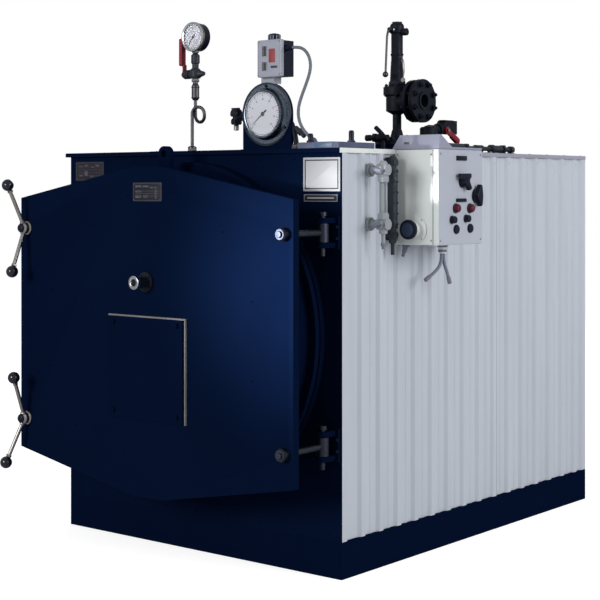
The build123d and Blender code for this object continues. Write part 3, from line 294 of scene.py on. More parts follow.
node_finish = {
    "siphon_pipe": "pipe_bronze", "clamp_balls_upper": "ball_plastic", "clamp_balls_lower": "ball_plastic",
    "large_gauge": "gauge_case", "gauge_cock": "coupling_dark", "switch_conduit": "conduit_grey",
    "burner_lead_left": "lead_grey", "burner_lead_right": "lead_grey", "cable_duct": "duct_dark",
    "top_pipe": "coupling_dark", "cable_hood": "hood_paint", "safety_valve_lever": "pipe_bronze",
    "hinge_bolts": "dark_steel", "hinge_pins": "dark_steel", "lead_plugs": "plug_grey",
    "glass_level_gauge": "dull_nickel", "reflex_level_gauge": "gauge_green",
}
edge_round = {
    "door_cover": 3.0, "control_cabinet": 2.0, "base_side_rails": 3.0, "base_cross_rails": 3.0,
    "front_panel": 1.5, "top_panel": 2.5, "burner_plate": 1.5, "hinge_brackets": 2.0,
    "keeper_brackets": 2.0, "stop_valve_body": 2.0, "reflex_level_gauge": 1.2, "gauge_pedestal": 2.0,
    "cable_duct": 2.0, "cable_hood": 2.5, "door_drum": 2.0, "valve_nozzle": 2.0, "safety_valve_body": 2.0,
    "safety_valve_bonnet": 1.5, "pressure_switch": 1.5, "side_panels_left": 1.0, "side_panels_right": 1.0,
}


def dress_nodes():
    """Give every solid the finish of its slot, flat faces without seams, and rounded edges."""
    slots = {part["node"]: part["material_slot"] for part in frame["record"]["subparts"]}
    for name, node in nodes.items():
        node.data.materials.clear()
        node.data.materials.append(materials[node_finish.get(name, slots[name])])
        for polygon in node.data.polygons:
            polygon.use_smooth = True
        flat = node.modifiers.new("flat_faces", "DECIMATE")
        flat.decimate_type = "DISSOLVE"
        flat.angle_limit = math.radians(0.5)
        rounded = node.modifiers.new("rounded_edges", "BEVEL")
        rounded.width = edge_round.get(name, 0.8) * MM
        rounded.segments = 2
        rounded.limit_method = "ANGLE"
        rounded.angle_limit = math.radians(40)
        rounded.miter_outer = "MITER_ARC"
        node.modifiers.new("even_shading", "WEIGHTED_NORMAL").keep_sharp = True


# Geometry: a Piece is one mesh, filled by its own functions


def seat(place, axis, turn=0.0):
    """A matrix at a place, with its z along an axis and its x level."""
    z = Vector(axis).normalized()
    side = Vector(UP).cross(z)
    x = side.normalized() if side.length > 0.001 else Vector(RIGHT)
    y = z.cross(x)
    turned = Matrix((x, y, z)).transposed().to_4x4() @ Matrix.Rotation(math.radians(turn), 4, "Z")
    return Matrix.Translation(Vector(place) * MM) @ turned


class Piece:
    """A mesh in the making. Its functions take millimetres and a matrix from seat."""

    def __init__(self):
        self.mesh = bmesh.new()

    def ring(self, place, radius, height, count):
        if radius <= 0:
            return [self.mesh.verts.new(place @ Vector((0, 0, height * MM)))]
        return [self.mesh.verts.new(place @ Vector((radius * MM * math.cos(a), radius * MM * math.sin(a),
                                                    height * MM)))
                for a in (2 * math.pi * k / count for k in range(count))]

    def join_rings(self, first, second):
        count = max(len(first), len(second))
        for k in range(count):
            n = (k + 1) % count
            if len(first) == 1:
                self.mesh.faces.new((first[0], second[n], second[k])[::-1])
            elif len(second) == 1:
                self.mesh.faces.new((first[k], first[n], second[0]))
            else:
                self.mesh.faces.new((first[k], first[n], second[n], second[k]))

    def lathe(self, place, profile, count=40):
        """A turned form: points of radius and height from its foot to its top."""
        rings = [self.ring(place, radius, height, count) for radius, height in profile]
        for first, second in zip(rings, rings[1:]):
            self.join_rings(first, second)
        if len(rings[0]) > 1 and profile[0] != profile[-1]:
            self.mesh.faces.new(rings[0][::-1])
        if len(rings[-1]) > 1 and profile[0] != profile[-1]:
            self.mesh.faces.new(rings[-1])

    def band(self, place, profile, count=48):
        """A closed ring of the given section, points of radius and height."""
        rings = [self.ring(place, radius, height, count) for radius, height in profile]
        for first, second in zip(rings, rings[1:] + rings[:1]):
            self.join_rings(first, second)

    def bead(self, place, radius, thickness, count=56, sides=6):
        """A round bead in a circle, such as a weld."""
        section = [(radius + thickness * math.cos(a), thickness * math.sin(a))
                   for a in (2 * math.pi * k / sides for k in range(sides))]
        self.band(place, section, count)

    def slab(self, place, outline, low, high, round_by=0.0):
        """An outline of points, raised from one height to another, with its upper edge rounded."""
        def level(height, shrink):
            centre = Vector((sum(x for x, y in outline) / len(outline),
                             sum(y for x, y in outline) / len(outline)))
            points = []
            for x, y in outline:
                away = Vector((x, y)) - centre
                pulled = Vector((x, y)) - Vector((math.copysign(min(shrink, abs(away.x)), away.x),
                                                  math.copysign(min(shrink, abs(away.y)), away.y)))
                points.append(self.mesh.verts.new(place @ Vector((pulled.x * MM, pulled.y * MM,
                                                                  height * MM))))
            return points
        rings = [level(low, 0)]
        if round_by:
            rings += [level(high - round_by, 0), level(high - 0.3 * round_by, 0.3 * round_by)]
            rings.append(level(high, round_by))
        else:
            rings.append(level(high, 0))
        for first, second in zip(rings, rings[1:]):
            self.join_rings(first, second)
        self.mesh.faces.new(rings[0][::-1])
        self.mesh.faces.new(rings[-1])

    def plate(self, place, width, height, thickness, corner=0.0, round_by=0.4, low=0.0):
        """A plate centred on its place."""
        outline = []
        for sx, sy, start in ((1, -1, -90), (1, 1, 0), (-1, 1, 90), (-1, -1, 180)):
            cx = sx * (width / 2 - corner)
            cy = sy * (height / 2 - corner)
            steps = 5 if corner else 1
            for k in range(steps):
                angle = math.radians(start + (90 * k / (steps - 1) if corner else 0))
                outline.append((cx + corner * math.cos(angle), cy + corner * math.sin(angle)))
        self.slab(place, outline, low, thickness, round_by)

    def frame_line(self, place, width, height, line, low, thickness):
        """A thin rectangular frame."""
        for x, y, w, h in ((0, (height - line) / 2, width, line), (0, (line - height) / 2, width, line),
                           ((width - line) / 2, 0, line, height - 2 * line),
                           ((line - width) / 2, 0, line, height - 2 * line)):
            self.plate(place @ Matrix.Translation((x * MM, y * MM, 0)), w, h, thickness, 0, 0.0, low)

    def hexagon(self, place, across, low, high, washer=0.0):
        """A hexagon head or nut with a chamfered top, on a washer."""
        radius = across / 2 / math.cos(math.pi / 6)
        if washer:
            self.lathe(place, [(0, low), (washer, low), (washer, low + 0.12 * across),
                               (0, low + 0.12 * across)], 24)
            low += 0.12 * across
        bevel = 0.12 * (high - low)
        self.lathe(place, [(0, low), (radius * 0.96, low), (radius, low + bevel), (radius, high - bevel),
                           (radius * 0.88, high), (0, high)], 6)

    def bolt(self, place, across, height, washer=True):
        self.hexagon(place, across, 0, height, across * 0.68 if washer else 0)

    def stud(self, place, across, length, washer=True):
        """A nut with the end of its stud standing out."""
        self.hexagon(place, across, 0, across * 0.6, across * 0.68 if washer else 0)
        radius = across * 0.29
        self.lathe(place, [(radius, 0.4 * across), (radius, length - 1), (radius * 0.8, length),
                           (0, length)], 16)

    def screw(self, place, radius=3.2):
        """A domed screw head with a cross recess."""
        self.lathe(place, [(radius, -0.2), (radius, 0.25 * radius), (0.85 * radius, 0.5 * radius),
                           (0.45 * radius, 0.68 * radius), (0.3 * radius, 0.7 * radius),
                           (0.16 * radius, 0.45 * radius), (0, 0.4 * radius)], 14)

    def tube(self, points, radius, count=10, close=True):
        """A round bar through points, in millimetres."""
        route = [Vector(p) * MM for p in points]
        normal = None
        rings = []
        for k, here in enumerate(route):
            along = (route[min(k + 1, len(route) - 1)] - route[max(k - 1, 0)]).normalized()
            if normal is None:
                normal = along.orthogonal().normalized()
            normal = (normal - along * normal.dot(along)).normalized()
            across = along.cross(normal)
            size = (radius[k] if isinstance(radius, list) else radius) * MM
            rings.append([self.mesh.verts.new(here + size * (math.cos(a) * normal + math.sin(a) * across))
                          for a in (2 * math.pi * j / count for j in range(count))])
        for first, second in zip(rings, rings[1:]):
            self.join_rings(first, second)
        if close:
            self.mesh.faces.new(rings[0][::-1])
            self.mesh.faces.new(rings[-1])

    def words(self, place, text, size, depth=0.15):
        """Raised figures, centred on a place."""
        curve = bpy.data.curves.new("figures", "FONT")
        curve.body = text
        curve.size = size * MM
        curve.align_x = "CENTER"
        curve.align_y = "CENTER"
        curve.extrude = depth * MM
        curve.resolution_u = 3
        helper = bpy.data.objects.new("figures", curve)
        mesh = bpy.data.meshes.new_from_object(helper)
        mesh.transform(place)
        self.mesh.from_mesh(mesh)
        bpy.data.meshes.remove(mesh)
        bpy.data.objects.remove(helper)
        bpy.data.curves.remove(curve)

    def made(self, name, material, slot, body="root", split=35):
        """Turn the mesh into an object that rides on a body."""
        bmesh.ops.recalc_face_normals(self.mesh, faces=self.mesh.faces)
        data = bpy.data.meshes.new(name)
        self.mesh.to_mesh(data)
        self.mesh.free()
        data.materials.append(materials[material])
        for polygon in data.polygons:
            polygon.use_smooth = True
        piece = bpy.data.objects.new(name, data)
        scene.collection.objects.link(piece)
        piece.modifiers.new("edges", "EDGE_SPLIT").split_angle = math.radians(split)
        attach(piece, body)
        return piece


def around(place, radius, count, start=0.0):
    """Places on a circle about a matrix, turned outward."""
    for k in range(count):
        turn = Matrix.Rotation(math.radians(start + 360 * k / count), 4, "Z")
        yield place @ turn @ Matrix.Translation((radius * MM, 0, 0))


def shifted(place, x=0.0, y=0.0, z=0.0):
    return place @ Matrix.Translation((x * MM, y * MM, z * MM))


def turned(place, degrees):
    return place @ Matrix.Rotation(math.radians(degrees), 4, "Z")


def corners(width, height):
    """The corners of a rectangle about its middle, from half its width and half its height."""
    return [(side * width, end * height) for side in (-1, 1) for end in (-1, 1)]


# Cords: the switch's conduit, held at both ends, and two short leads under the cabinet

CONDUIT_ROUTE = [(440, -841, 1865), (472, -842, 1865), (502, -843, 1850), (522, -845, 1822),
                 (528, -847, 1788), (519, -849, 1752), (487, -855, 1676), (479, -858, 1640),
                 (484, -861, 1605), (503, -865, 1573), (528, -868, 1551), (549, -871, 1534)]
LEAD_ROUTES = {
    "left": [(775, -383.5, 1119), (775, -383.5, 1096), (772, -391, 1073), (764, -408, 1052),
             (755, -427, 1037)],
    "right": [(775, -370.5, 1119), (775, -370.5, 1096), (776.5, -364, 1072), (779, -353, 1050),
              (780, -347, 1033)],
}
CONDUIT_DIAMETER = 12
LEAD_DIAMETER = 12.5
CONDUIT_PITCH = 5.0


def spline_object(name, route, radius=0.0):
    """A smooth curve with the route's points as its control points."""
    data = bpy.data.curves.new(name, "CURVE")
    data.dimensions = "3D"
    data.resolution_u = 16
    line = data.splines.new("NURBS")
    line.points.add(len(route) - 1)
    for point, place in zip(line.points, route):
        point.co = (*(Vector(place) * MM), 1)
    line.order_u = 3
    line.use_endpoint_u = True
    data.bevel_depth = radius * MM
    data.bevel_resolution = 5
    data.use_fill_caps = True
    curve = bpy.data.objects.new(name, data)
    scene.collection.objects.link(curve)
    return curve


def followed(curve):
    """The points that a spline without thickness passes through, in metres."""
    mesh = bpy.data.meshes.new_from_object(curve)
    points = [vertex.co.copy() for vertex in mesh.vertices]
    bpy.data.meshes.remove(mesh)
    return points


def length_of(points):
    return sum((b - a).length for a, b in zip(points, points[1:]))


def spaced(points, step):
    """Points at an even distance along a line."""
    total = length_of(points)
    count = max(2, round(total / step))
    wanted = [total * k / count for k in range(count + 1)]
    out = []
    walked = 0.0
    k = 0
    for target in wanted:
        while k < len(points) - 2 and walked + (points[k + 1] - points[k]).length < target:
            walked += (points[k + 1] - points[k]).length
            k += 1
        run = (points[k + 1] - points[k]).length
        out.append(points[k].lerp(points[k + 1], min(1, (target - walked) / run if run else 0)))
    return out


def add_cords():
    guide = spline_object("conduit_guide", CONDUIT_ROUTE)
    line = followed(guide)
    bpy.data.objects.remove(guide)
    path = spaced(line, CONDUIT_PITCH * MM / 4)
    conduit = Piece()
    full = CONDUIT_DIAMETER / 2
    conduit.tube([p / MM for p in path], [full - (0.9 if k % 4 == 0 else 0.25 if k % 2 else 0)
                                          for k in range(len(path))], 14)
    piece = conduit.made("conduit", "conduit_grey", "black_plastic", split=60)
    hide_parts("switch_conduit")
    for hand, route in LEAD_ROUTES.items():
        lead = spline_object(f"lead_{hand}", route, LEAD_DIAMETER / 2)
        lead.data.materials.append(materials["lead_grey"])
        guide = spline_object("lead_guide", route)
        length = length_of(followed(guide))
        bpy.data.objects.remove(guide)
        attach(lead, "root")
        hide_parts(f"burner_lead_{hand}")


# Places and sizes that are used more than once

DOOR_FACE = -1140
PANEL_FACE = -878
BOLT_X = 648
BOLT_HEIGHTS = (1205, 467)
HUB_END = -1172.4
ARM_RISE = 166.5
ARM_REACH = 73
CLAMP_TURNS = {"upper": -4.4, "lower": 7.8}
VESSEL = 837
FURNACE = 708
TOP = 1500
FLUE = 1010
SIGHT = 1020
SIDE = 690
REAR_FACE = 878
LABEL_X = 5.5
LABEL_HEIGHT = 1346
FRONT_PLATE = (602, 1408)
FRONT_STRIP = (598, 1325)
CORNER_PLATE = (-578, 1427)
TUBE_RING = 405
TUBE_COUNT = 16
TUBE_SWEEP = 236


# Door

def add_door_details():
    # A pale strip on the burner plate's top and right edges only: a painted highlight where those edges catch
    # the light.
    strip = Piece()
    place = seat((0, DOOR_FACE, 0), FRONT)
    strip.plate(shifted(place, 8, 894), 390, 6, 10, 0, 0.8, 1)
    strip.plate(shifted(place, 200, 705), 6, 370, 10, 0, 0.8, 1)
    strip.made("burner_plate_painted_highlight", "trim_white", "cabinet_paint", "door")

    label = Piece()
    label.plate(shifted(place, LABEL_X, LABEL_HEIGHT), 147, 70, 1.6, 4, 0.5)
    label.made("door_plate", "plate_dark", "black_plastic", "door")
    marks = Piece()
    marks.frame_line(shifted(place, LABEL_X, LABEL_HEIGHT), 141, 64, 1.4, 1.5, 1.9)
    for row, width in ((17, 96), (3, 118), (-6, 118), (-15, 118)):
        marks.plate(shifted(place, LABEL_X, LABEL_HEIGHT + row), width, 1.2, 1.9, 0, 0, 1.5)
    for x in (-40, 0, 38):
        marks.plate(shifted(place, LABEL_X + x, LABEL_HEIGHT - 6), 1.2, 26, 1.9, 0, 0, 1.5)
    for x, z in corners(66, 27.5):
        marks.screw(shifted(place, LABEL_X + x, LABEL_HEIGHT + z, 1.6), 2.6)
    for x, z, width, height in ((-45, 20, 30, 8), (-45, 2, 30, 7), (-45, -17, 30, 10), (-8, 20, 30, 6),
                                (-8, -16, 24, 9), (32, 16, 34, 6), (44, -8, 6, 34)):
        marks.plate(shifted(place, LABEL_X + x, LABEL_HEIGHT + z), width, height, 1.9, 0, 0, 1.5)
    marks.made("door_plate_lines", "label_grey", "plain_steel", "door")

    ends = Piece()
    for height in BOLT_HEIGHTS:
        end = seat((BOLT_X, DOOR_FACE - 26, height), FRONT)
        ends.lathe(end, [(12, -0.4), (12, 5), (10.5, 7), (0, 7.4)], 24)
    ends.made("door_bolt_ends", "dark_steel", "plain_steel", "door")
    bolts = Piece()
    for x, z in ((-160, 545), (160, 545), (-160, 870), (160, 870)):
        bolts.bolt(seat((x, DOOR_FACE - 8, z), FRONT, 12 + x), 15, 9)
    bolts.made("burner_plate_bolts", "navy_paint", "navy_paint", "door")

    plate_screws = Piece()
    for angle in range(15, 360, 30):
        a = math.radians(angle)
        spot = (524 * math.cos(a), DOOR_FACE - 0.1, VESSEL + 524 * math.sin(a))
        plate_screws.screw(seat(spot, FRONT, angle), 3.6)
    plate_screws.made("door_sheet_screws", "navy_paint", "navy_paint", "door")

    weld = Piece()
    weld.bead(seat((0, -1135, VESSEL), FRONT), 584.5, 2.6, 96)
    weld.bead(seat((0, -935.5, VESSEL), FRONT), 585, 3.0, 96)
    weld.made("door_welds", "navy_paint", "navy_paint", "door", 60)

    lug = Piece()
    lug.tube([(-29, -1050.5, 1424), (29, -1050.5, 1424)], 3.4, 8)
    lug.tube([(-29, -1025.5, 1424), (29, -1025.5, 1424)], 3.4, 8)
    lug.made("lug_welds", "navy_paint", "navy_paint", "door", 60)

    stays = Piece()
    for angle in range(0, 360, 45):
        a = math.radians(angle + 22.5)
        x, z = 584 * math.cos(a), VESSEL + 584 * math.sin(a)
        rib = Matrix.Translation(Vector((x, -1134, z)) * MM) @ Matrix((
            (math.cos(a), 0, -math.sin(a), 0), (0, 1, 0, 0), (math.sin(a), 0, math.cos(a), 0), (0, 0, 0, 1)))
        stays.slab(rib, [(0, 0), (34, 0), (34, 6), (6, 34), (0, 34)], -3, 3)
    stays.made("door_stays", "navy_paint", "navy_paint", "door")

    anchors = Piece()
    for radius, count, start in ((150, 6, 0), (330, 10, 18), (470, 14, 5)):
        for spot in around(seat((0, -1025.2, VESSEL), BACK), radius, count, start):
            anchors.lathe(spot, [(9, -1), (9, 0.6), (6, 1.6), (0, 1.8)], 16)
    anchors.lathe(seat((0, -1025.4, SIGHT), BACK),
                  [(30, -1), (30, 1.2), (22, 1.2), (19, -0.6), (0, -0.6)], 32)
    anchors.made("lining_anchors", "refractory", "refractory", "door")

    glass = Piece()
    glass.lathe(seat((0, -1201.2, SIGHT), FRONT), [(12.9, -0.6), (12.9, 1), (11, 1.6), (0, 1.8)], 32)
    glass.made("sight_window", "black_plastic", "black_plastic", "door")
    sight = Piece()
    for spot in around(seat((0, DOOR_FACE - 8, SIGHT), FRONT), 28, 4, 45):
        sight.bolt(spot, 8, 5, False)
    sight.lathe(seat((0, -1192.2, SIGHT), FRONT), [(21.5, -7), (22.5, -6.5), (22.5, -1), (21, 0)], 6)
    sight.made("sight_nuts", "black_iron", "black_iron", "door")


def add_clamp_details():
    for height, body, hand in zip(BOLT_HEIGHTS, ("upper_clamp", "lower_clamp"), ("upper", "lower")):
        cap = Piece()
        end = seat((-BOLT_X, HUB_END, height), FRONT)
        cap.lathe(end, [(16, -0.6), (16.6, 1), (16.6, 5), (14, 8), (8, 9.6), (0, 10)], 32)
        cap.made(f"clamp_cap_{hand}", "black_plastic", "black_plastic", body)
        collars = Piece()
        tilt = math.radians(CLAMP_TURNS[hand])
        root = Vector((-BOLT_X, HUB_END + 16, height))
        for sign in (-1, 1):
            rise = sign * ARM_RISE
            ball = root + Vector((rise * math.sin(tilt), -ARM_REACH, rise * math.cos(tilt)))
            along = (ball - root).normalized()
            near = root + along * ((ball - root).length - 25.5)
            collars.lathe(seat(near, along), [(9.5, -6), (10.5, -5), (10.5, 2), (8, 4), (0, 4)], 6)
            foot = root + along * 23
            collars.lathe(seat(foot, along), [(7.6, -2), (11, -1), (11, 2.5), (7.6, 6)], 24)
        collars.lathe(end, [(22.6, -8.5), (22.6, -7), (21.4, -6), (21.4, -9.5)], 32)
        collars.made(f"clamp_collars_{hand}", "plain_steel", "plain_steel", body)


# Front panel: blank plates, bracket bolts and sheet screws

def add_front_details():
    place = seat((0, PANEL_FACE, 0), FRONT)
    white = Piece()
    white.plate(shifted(place, *FRONT_PLATE), 164, 119, 2.0, 3, 0.6)
    white.made("front_plate", "plate_white", "cabinet_paint")
    lines = Piece()
    lines.frame_line(shifted(place, *FRONT_PLATE), 150, 104, 4.5, 1.9, 2.5)
    lines.plate(shifted(place, *FRONT_STRIP), 152, 28, 1.8, 2, 0.5)
    lines.made("front_plate_frame", "plate_dark", "black_plastic")
    light = Piece()
    light.frame_line(shifted(place, *FRONT_STRIP), 148, 24, 1.6, 1.7, 2.2)
    light.plate(shifted(place, *FRONT_STRIP), 118, 5, 2.2, 0, 0, 1.7)
    light.made("front_strip_lines", "plate_white", "cabinet_paint")
    brown = Piece()
    brown.plate(shifted(place, *CORNER_PLATE), 163, 77, 1.6, 3, 0.5)
    brown.made("corner_plate", "plate_brown", "black_plastic")
    rows = Piece()
    rows.frame_line(shifted(place, *CORNER_PLATE), 155, 69, 1.2, 1.5, 1.9)
    for row in (18, 6, -6, -18):
        rows.plate(shifted(place, CORNER_PLATE[0], CORNER_PLATE[1] + row), 130, 1.0, 1.9, 0, 0, 1.5)
    for x, z in corners(73, 31):
        rows.screw(shifted(place, CORNER_PLATE[0] + x, CORNER_PLATE[1] + z, 1.6), 2.6)
    rows.lathe(shifted(place, -597, 1419, 1.4), [(11, 0), (11, 0.8), (0, 0.8)], 24)
    for x, z in ((-630, 1446), (-596, 1450), (-560, 1444), (-534, 1450), (-628, 1410), (-566, 1408)):
        rows.plate(shifted(place, x, z), 20, 6, 1.9, 0, 0, 1.5)
    rows.made("corner_plate_lines", "label_grey", "plain_steel")

    bolts = Piece()
    for height in BOLT_HEIGHTS:
        for sx, sz in corners(1, 1):
            spot = (BOLT_X + sx * 30, PANEL_FACE - 12, height + sz * 20)
            bolts.bolt(seat(spot, FRONT, 7 * sx + sz), 9.5, 6)
        for sz in (-1, 1):
            bolts.lathe(seat((BOLT_X, -933, height + sz * 61.5), UP),
                        [(12.5, -1.6 if sz > 0 else -2), (12.5, 1), (0, 1)], 6)
    bolts.made("bracket_bolts", "dark_steel", "plain_steel")

    screws = Piece()
    for x in range(-640, 641, 160):
        screws.screw(shifted(place, x, 1462 if abs(x) < 500 else 1476, 0), 3.4)
        screws.screw(shifted(place, x, 148, 0), 3.4)
    for z in range(300, 1400, 180):
        for x in (-676, 676):
            screws.screw(shifted(place, x, z, 0), 3.4)
    screws.made("front_screws", "navy_paint", "navy_paint")

    welds = Piece()
    for height in BOLT_HEIGHTS:
        for edge in (-1, 1):
            z = height + edge * 56
            welds.tube([(-BOLT_X - 42, PANEL_FACE - 1, z), (-BOLT_X + 42, PANEL_FACE - 1, z)], 2.6, 6)
    welds.made("keeper_welds", "frame_paint", "frame_paint", split=60)


# Tube plates behind the door

def tube_places():
    for number in range(TUBE_COUNT):
        angle = math.radians(90 - TUBE_SWEEP / 2 + TUBE_SWEEP / (TUBE_COUNT - 1) * number)
        yield TUBE_RING * math.cos(angle), FURNACE + TUBE_RING * math.sin(angle)


def add_tube_welds():
    welds = Piece()
    for x, z in tube_places():
        welds.bead(seat((x, -905.4, z), FRONT), 38, 2.8, 32)
        welds.band(seat((x, -905, z), FRONT), [(33.2, 0), (38, 0), (37.4, 3.2), (33.8, 3.6)], 32)
    welds.bead(seat((0, -905.4, FURNACE), FRONT), 290, 3.6, 80)
    welds.bead(seat((0, -905.2, VESSEL), FRONT), 592.5, 3.2, 96)
    welds.made("tube_welds", "weld", "boiler_plate", split=60)
    hub = Piece()
    for angle in range(0, 360, 60):
        a = math.radians(angle + 30)
        hub.tube([(284 * math.cos(a), -904, FURNACE + 284 * math.sin(a)),
                  (284 * math.cos(a), -600, FURNACE + 284 * math.sin(a))], 3, 6)
    hub.made("furnace_seams", "boiler_plate", "boiler_plate", split=60)


# Sheet casing: screws, folded edges and the flue collar

def add_casing_details():
    screws = Piece()
    for side, axis in ((1, RIGHT), (-1, LEFT)):
        for k in range(0, 15):
            y = PANEL_FACE + 126 + 110 * k
            if side > 0 and -600 < y < -260:
                continue
            screws.screw(seat((side * SIDE, y, 1460), axis), 3.2)
    screws.made("side_screws", "ribbed_sheet", "ribbed_sheet")
    seams = Piece()
    for x, axis in ((680, RIGHT), (-680, LEFT)):
        seams.plate(seat((x, 154, 815), axis), 3.6, 1368, 0.5, 0, 0)
    seams.made("side_seams", "coupling_dark", "ribbed_sheet")

    top = Piece()
    for x in (-230, 235):
        top.plate(seat((x, 0, TOP), UP), 36, 1740, 1.6, 0, 0.6)
    top.made("top_seams", "navy_paint", "navy_paint")
    rivets = Piece()
    for x in (-242, -218, 223, 247):
        for y in range(-840, 861, 100):
            rivets.screw(seat((x, y, TOP + 1.6), UP, y), 3.4)
    for x in (-690, 676):
        for y in range(-600, 861, 146):
            if x > 0 and -170 < y < 330:
                continue
            rivets.screw(seat((x, y, TOP), UP, y), 3.4)
    rivets.made("top_screws", "navy_paint", "navy_paint")

    # One trim along the top of the right side, in two colours: the paler length from the front to the cabinet
    # is painted light, the greyer rest painted shade.
    trim = Piece()
    trim.plate(seat((SIDE, -720, 1491.5), RIGHT), 340, 17, 1.6, 0, 0.4)
    trim.made("top_edge_painted_light", "cabinet_paint", "cabinet_paint")
    rest = Piece()
    rest.plate(seat((SIDE, 164, 1492), RIGHT), 1428, 16, 1.6, 0, 0.4)
    rest.made("top_edge_painted_shade", "duct_grey", "cabinet_paint")

    rear = Piece()
    for x in range(-640, 641, 160):
        for z in (150, 1466):
            rear.screw(seat((x, REAR_FACE, z), BACK), 3.4)
    for z in range(300, 1400, 180):
        for x in (-676, 676):
            rear.screw(seat((x, REAR_FACE, z), BACK), 3.4)
    for spot in around(seat((0, 882, FLUE), BACK), 156, 12):
        rear.screw(spot, 3.4)
    rear.made("rear_screws", "seal_lead", "plain_steel")
    collar = Piece()
    flue = seat((0, REAR_FACE, FLUE), BACK)
    collar.band(flue, [(126.5, 0), (172, 0), (172, 3), (169, 4.2), (131, 4.2), (128, 7), (126.5, 7)], 72)
    collar.made("flue_collar", "ribbed_sheet", "ribbed_sheet")
    bead = Piece()
    bead.bead(seat((0, 956, FLUE), BACK), 125.2, 2.4, 72, 8)
    bead.bead(seat((0, 968, FLUE), BACK), 123, 1.9, 72, 8)
    bead.made("flue_beads", "boiler_plate", "boiler_plate", split=60)

    feet = Piece()
    for x in (-646, 646):
        for y in (-820, -310, 310, 820):
            feet.plate(seat((x, y, 10), UP), 40, 40, 4, 3, 0.6)
            feet.bolt(seat((x, y, 14), UP, 11), 19, 12)
    feet.made("foot_bolts", "plain_steel", "plain_steel")
    seams = Piece()
    for y in (-877, 877):
        for x in (-681, 681):
            seams.tube([(x, y, 12), (x, y, 118)], 2.6, 6)
    seams.made("base_welds", "frame_paint", "frame_paint", split=60)


# Dials

def add_dial(name, place, radius, numbers, figure, needle_turn):
    """A white dial with ticks, figures and a needle, under glass."""
    face = Piece()
    face.lathe(place, [(radius, 0), (radius, 0.5), (0, 0.5)], 64)
    face.made(f"{name}_face", "dial_white", "cabinet_paint")
    marks = Piece()
    steps = (len(numbers) - 1) * 5
    for k in range(steps + 1):
        angle = 225 - 270 * k / steps
        long = k % 5 == 0
        tick = turned(place, angle)
        reach = (0.14 if long else 0.08) * radius
        wide = (0.026 if long else 0.013) * radius
        marks.plate(shifted(tick, 0.93 * radius - reach / 2), reach, wide, 0.8, 0, 0, 0.45)
    for k, text in enumerate(numbers):
        angle = math.radians(225 - 270 * k / (len(numbers) - 1))
        marks.words(shifted(place, 0.66 * radius * math.cos(angle), 0.66 * radius * math.sin(angle), 0.6),
                    text, figure)
    marks.band(place, [(0.935 * radius, 0.45), (0.95 * radius, 0.45), (0.95 * radius, 0.75),
                       (0.935 * radius, 0.75)], 72)
    marks.made(f"{name}_marks", "print_black", "black_plastic")
    red = Piece()
    angle = 225 - 270 * 0.8
    red.plate(shifted(turned(place, angle), 0.88 * radius), 0.2 * radius, 0.03 * radius, 0.9, 0, 0, 0.5)
    red.made(f"{name}_limit_mark", "print_red", "red_plastic")
    needle = Piece()
    turn = turned(place, needle_turn)
    r = radius
    needle.slab(turn, [(-0.26 * r, -0.045 * r), (0, -0.032 * r), (0.8 * r, -0.006 * r), (0.8 * r, 0.006 * r),
                       (0, 0.032 * r), (-0.26 * r, 0.045 * r)], 1.6, 2.2)
    needle.lathe(place, [(0.1 * r, 0.5), (0.1 * r, 2.6), (0.075 * r, 3.4), (0, 3.6)], 32)
    needle.made(f"{name}_needle", "print_black", "black_plastic")
    cover = Piece()
    cover.lathe(place, [(radius, 4.1), (radius, 4.9), (0, 4.9)], 64)
    cover.made(f"{name}_glass", "glass", "chrome_fittings")


def add_gauges():
    large = seat((321, -866, 1629), FRONT)
    add_dial("large_dial", large, 81, ("0", "2", "4", "6", "8", "10", "12", "14", "16"), 12, 218)
    rims = Piece()
    rims.band(large, [(80.8, 3), (88.4, 2), (89, 4.5), (87, 7), (83.5, 7.4), (80.8, 6)], 72)
    rims.band(seat((321, -848, 1629), FRONT), [(88, -0.4), (96, -0.4), (91.5, 2.5), (88.6, 7)], 72)
    rims.made("large_gauge_rim", "gauge_case", "black_plastic")
    edge = Piece()
    edge.band(seat((321, -848, 1629), FRONT),
              [(108.5, -0.3), (114.2, -0.3), (114.2, 1.2), (112.5, 2), (109.5, 2), (108.5, 1.2)], 72)
    edge.made("large_gauge_flange_edge", "coupling_dark", "black_iron")
    screws = Piece()
    for spot in around(seat((321, -848, 1629), FRONT), 102, 3, 90):
        screws.bolt(spot, 9, 5)
    screws.made("large_gauge_screws", "black_iron", "black_iron")
    small = seat((-168, -712, 1952), FRONT)
    add_dial("small_dial", small, 49.5, ("0", "4", "8", "12", "16"), 10, 232)
    rim = Piece()
    rim.band(small, [(49.4, 3), (57.6, 3), (58.2, 6), (56.4, 8), (53, 8.6), (49.4, 7)], 64)
    rim.made("small_gauge_rim", "chrome_fittings", "chrome_fittings")
    band = Piece()
    band.band(small, [(57, -3.4), (58, -3), (58, -0.4), (57, 0)], 64)
    band.made("small_gauge_band", "seal_lead", "plain_steel")


def add_small_gauge_stack():
    nuts = Piece()
    for base, across, height in ((1500, 34, 16), (1889, 27, 15), (1775, 30, 13)):
        nuts.hexagon(seat((-168, -718 if base == 1500 else -700, base), UP, 14), across, 0.5, height)
    nuts.made("stack_nuts", "pipe_bronze", "plain_steel")
    rings = Piece()
    for z in (1712, 1752):
        rings.band(seat((-168, -700, z), UP), [(14.8, 0), (16.4, 1), (16.4, 4), (14.8, 5)], 32)
    rings.made("coupling_rings", "coupling_dark", "black_iron")
    spindle = Piece()
    spindle.lathe(seat((-168 - 54 - 10, -700, 1807), LEFT), [(9, -1.6), (9, 4.5), (0, 4.5)], 6)
    spindle.made("cock_lever_nut", "plain_steel", "plain_steel", "gauge_lever")
    grip = Piece()
    for z in range(1850, 1946, 12):
        grip.band(seat((-240.5, -700, z), UP), [(10.8, 0), (12.0, 1), (12.0, 5), (10.8, 6)], 20)
    grip.made("cock_grip_rings", "red_plastic", "red_plastic", "gauge_lever")


# Pressure switch, its cover's windows and marks, and the pieces round the large gauge

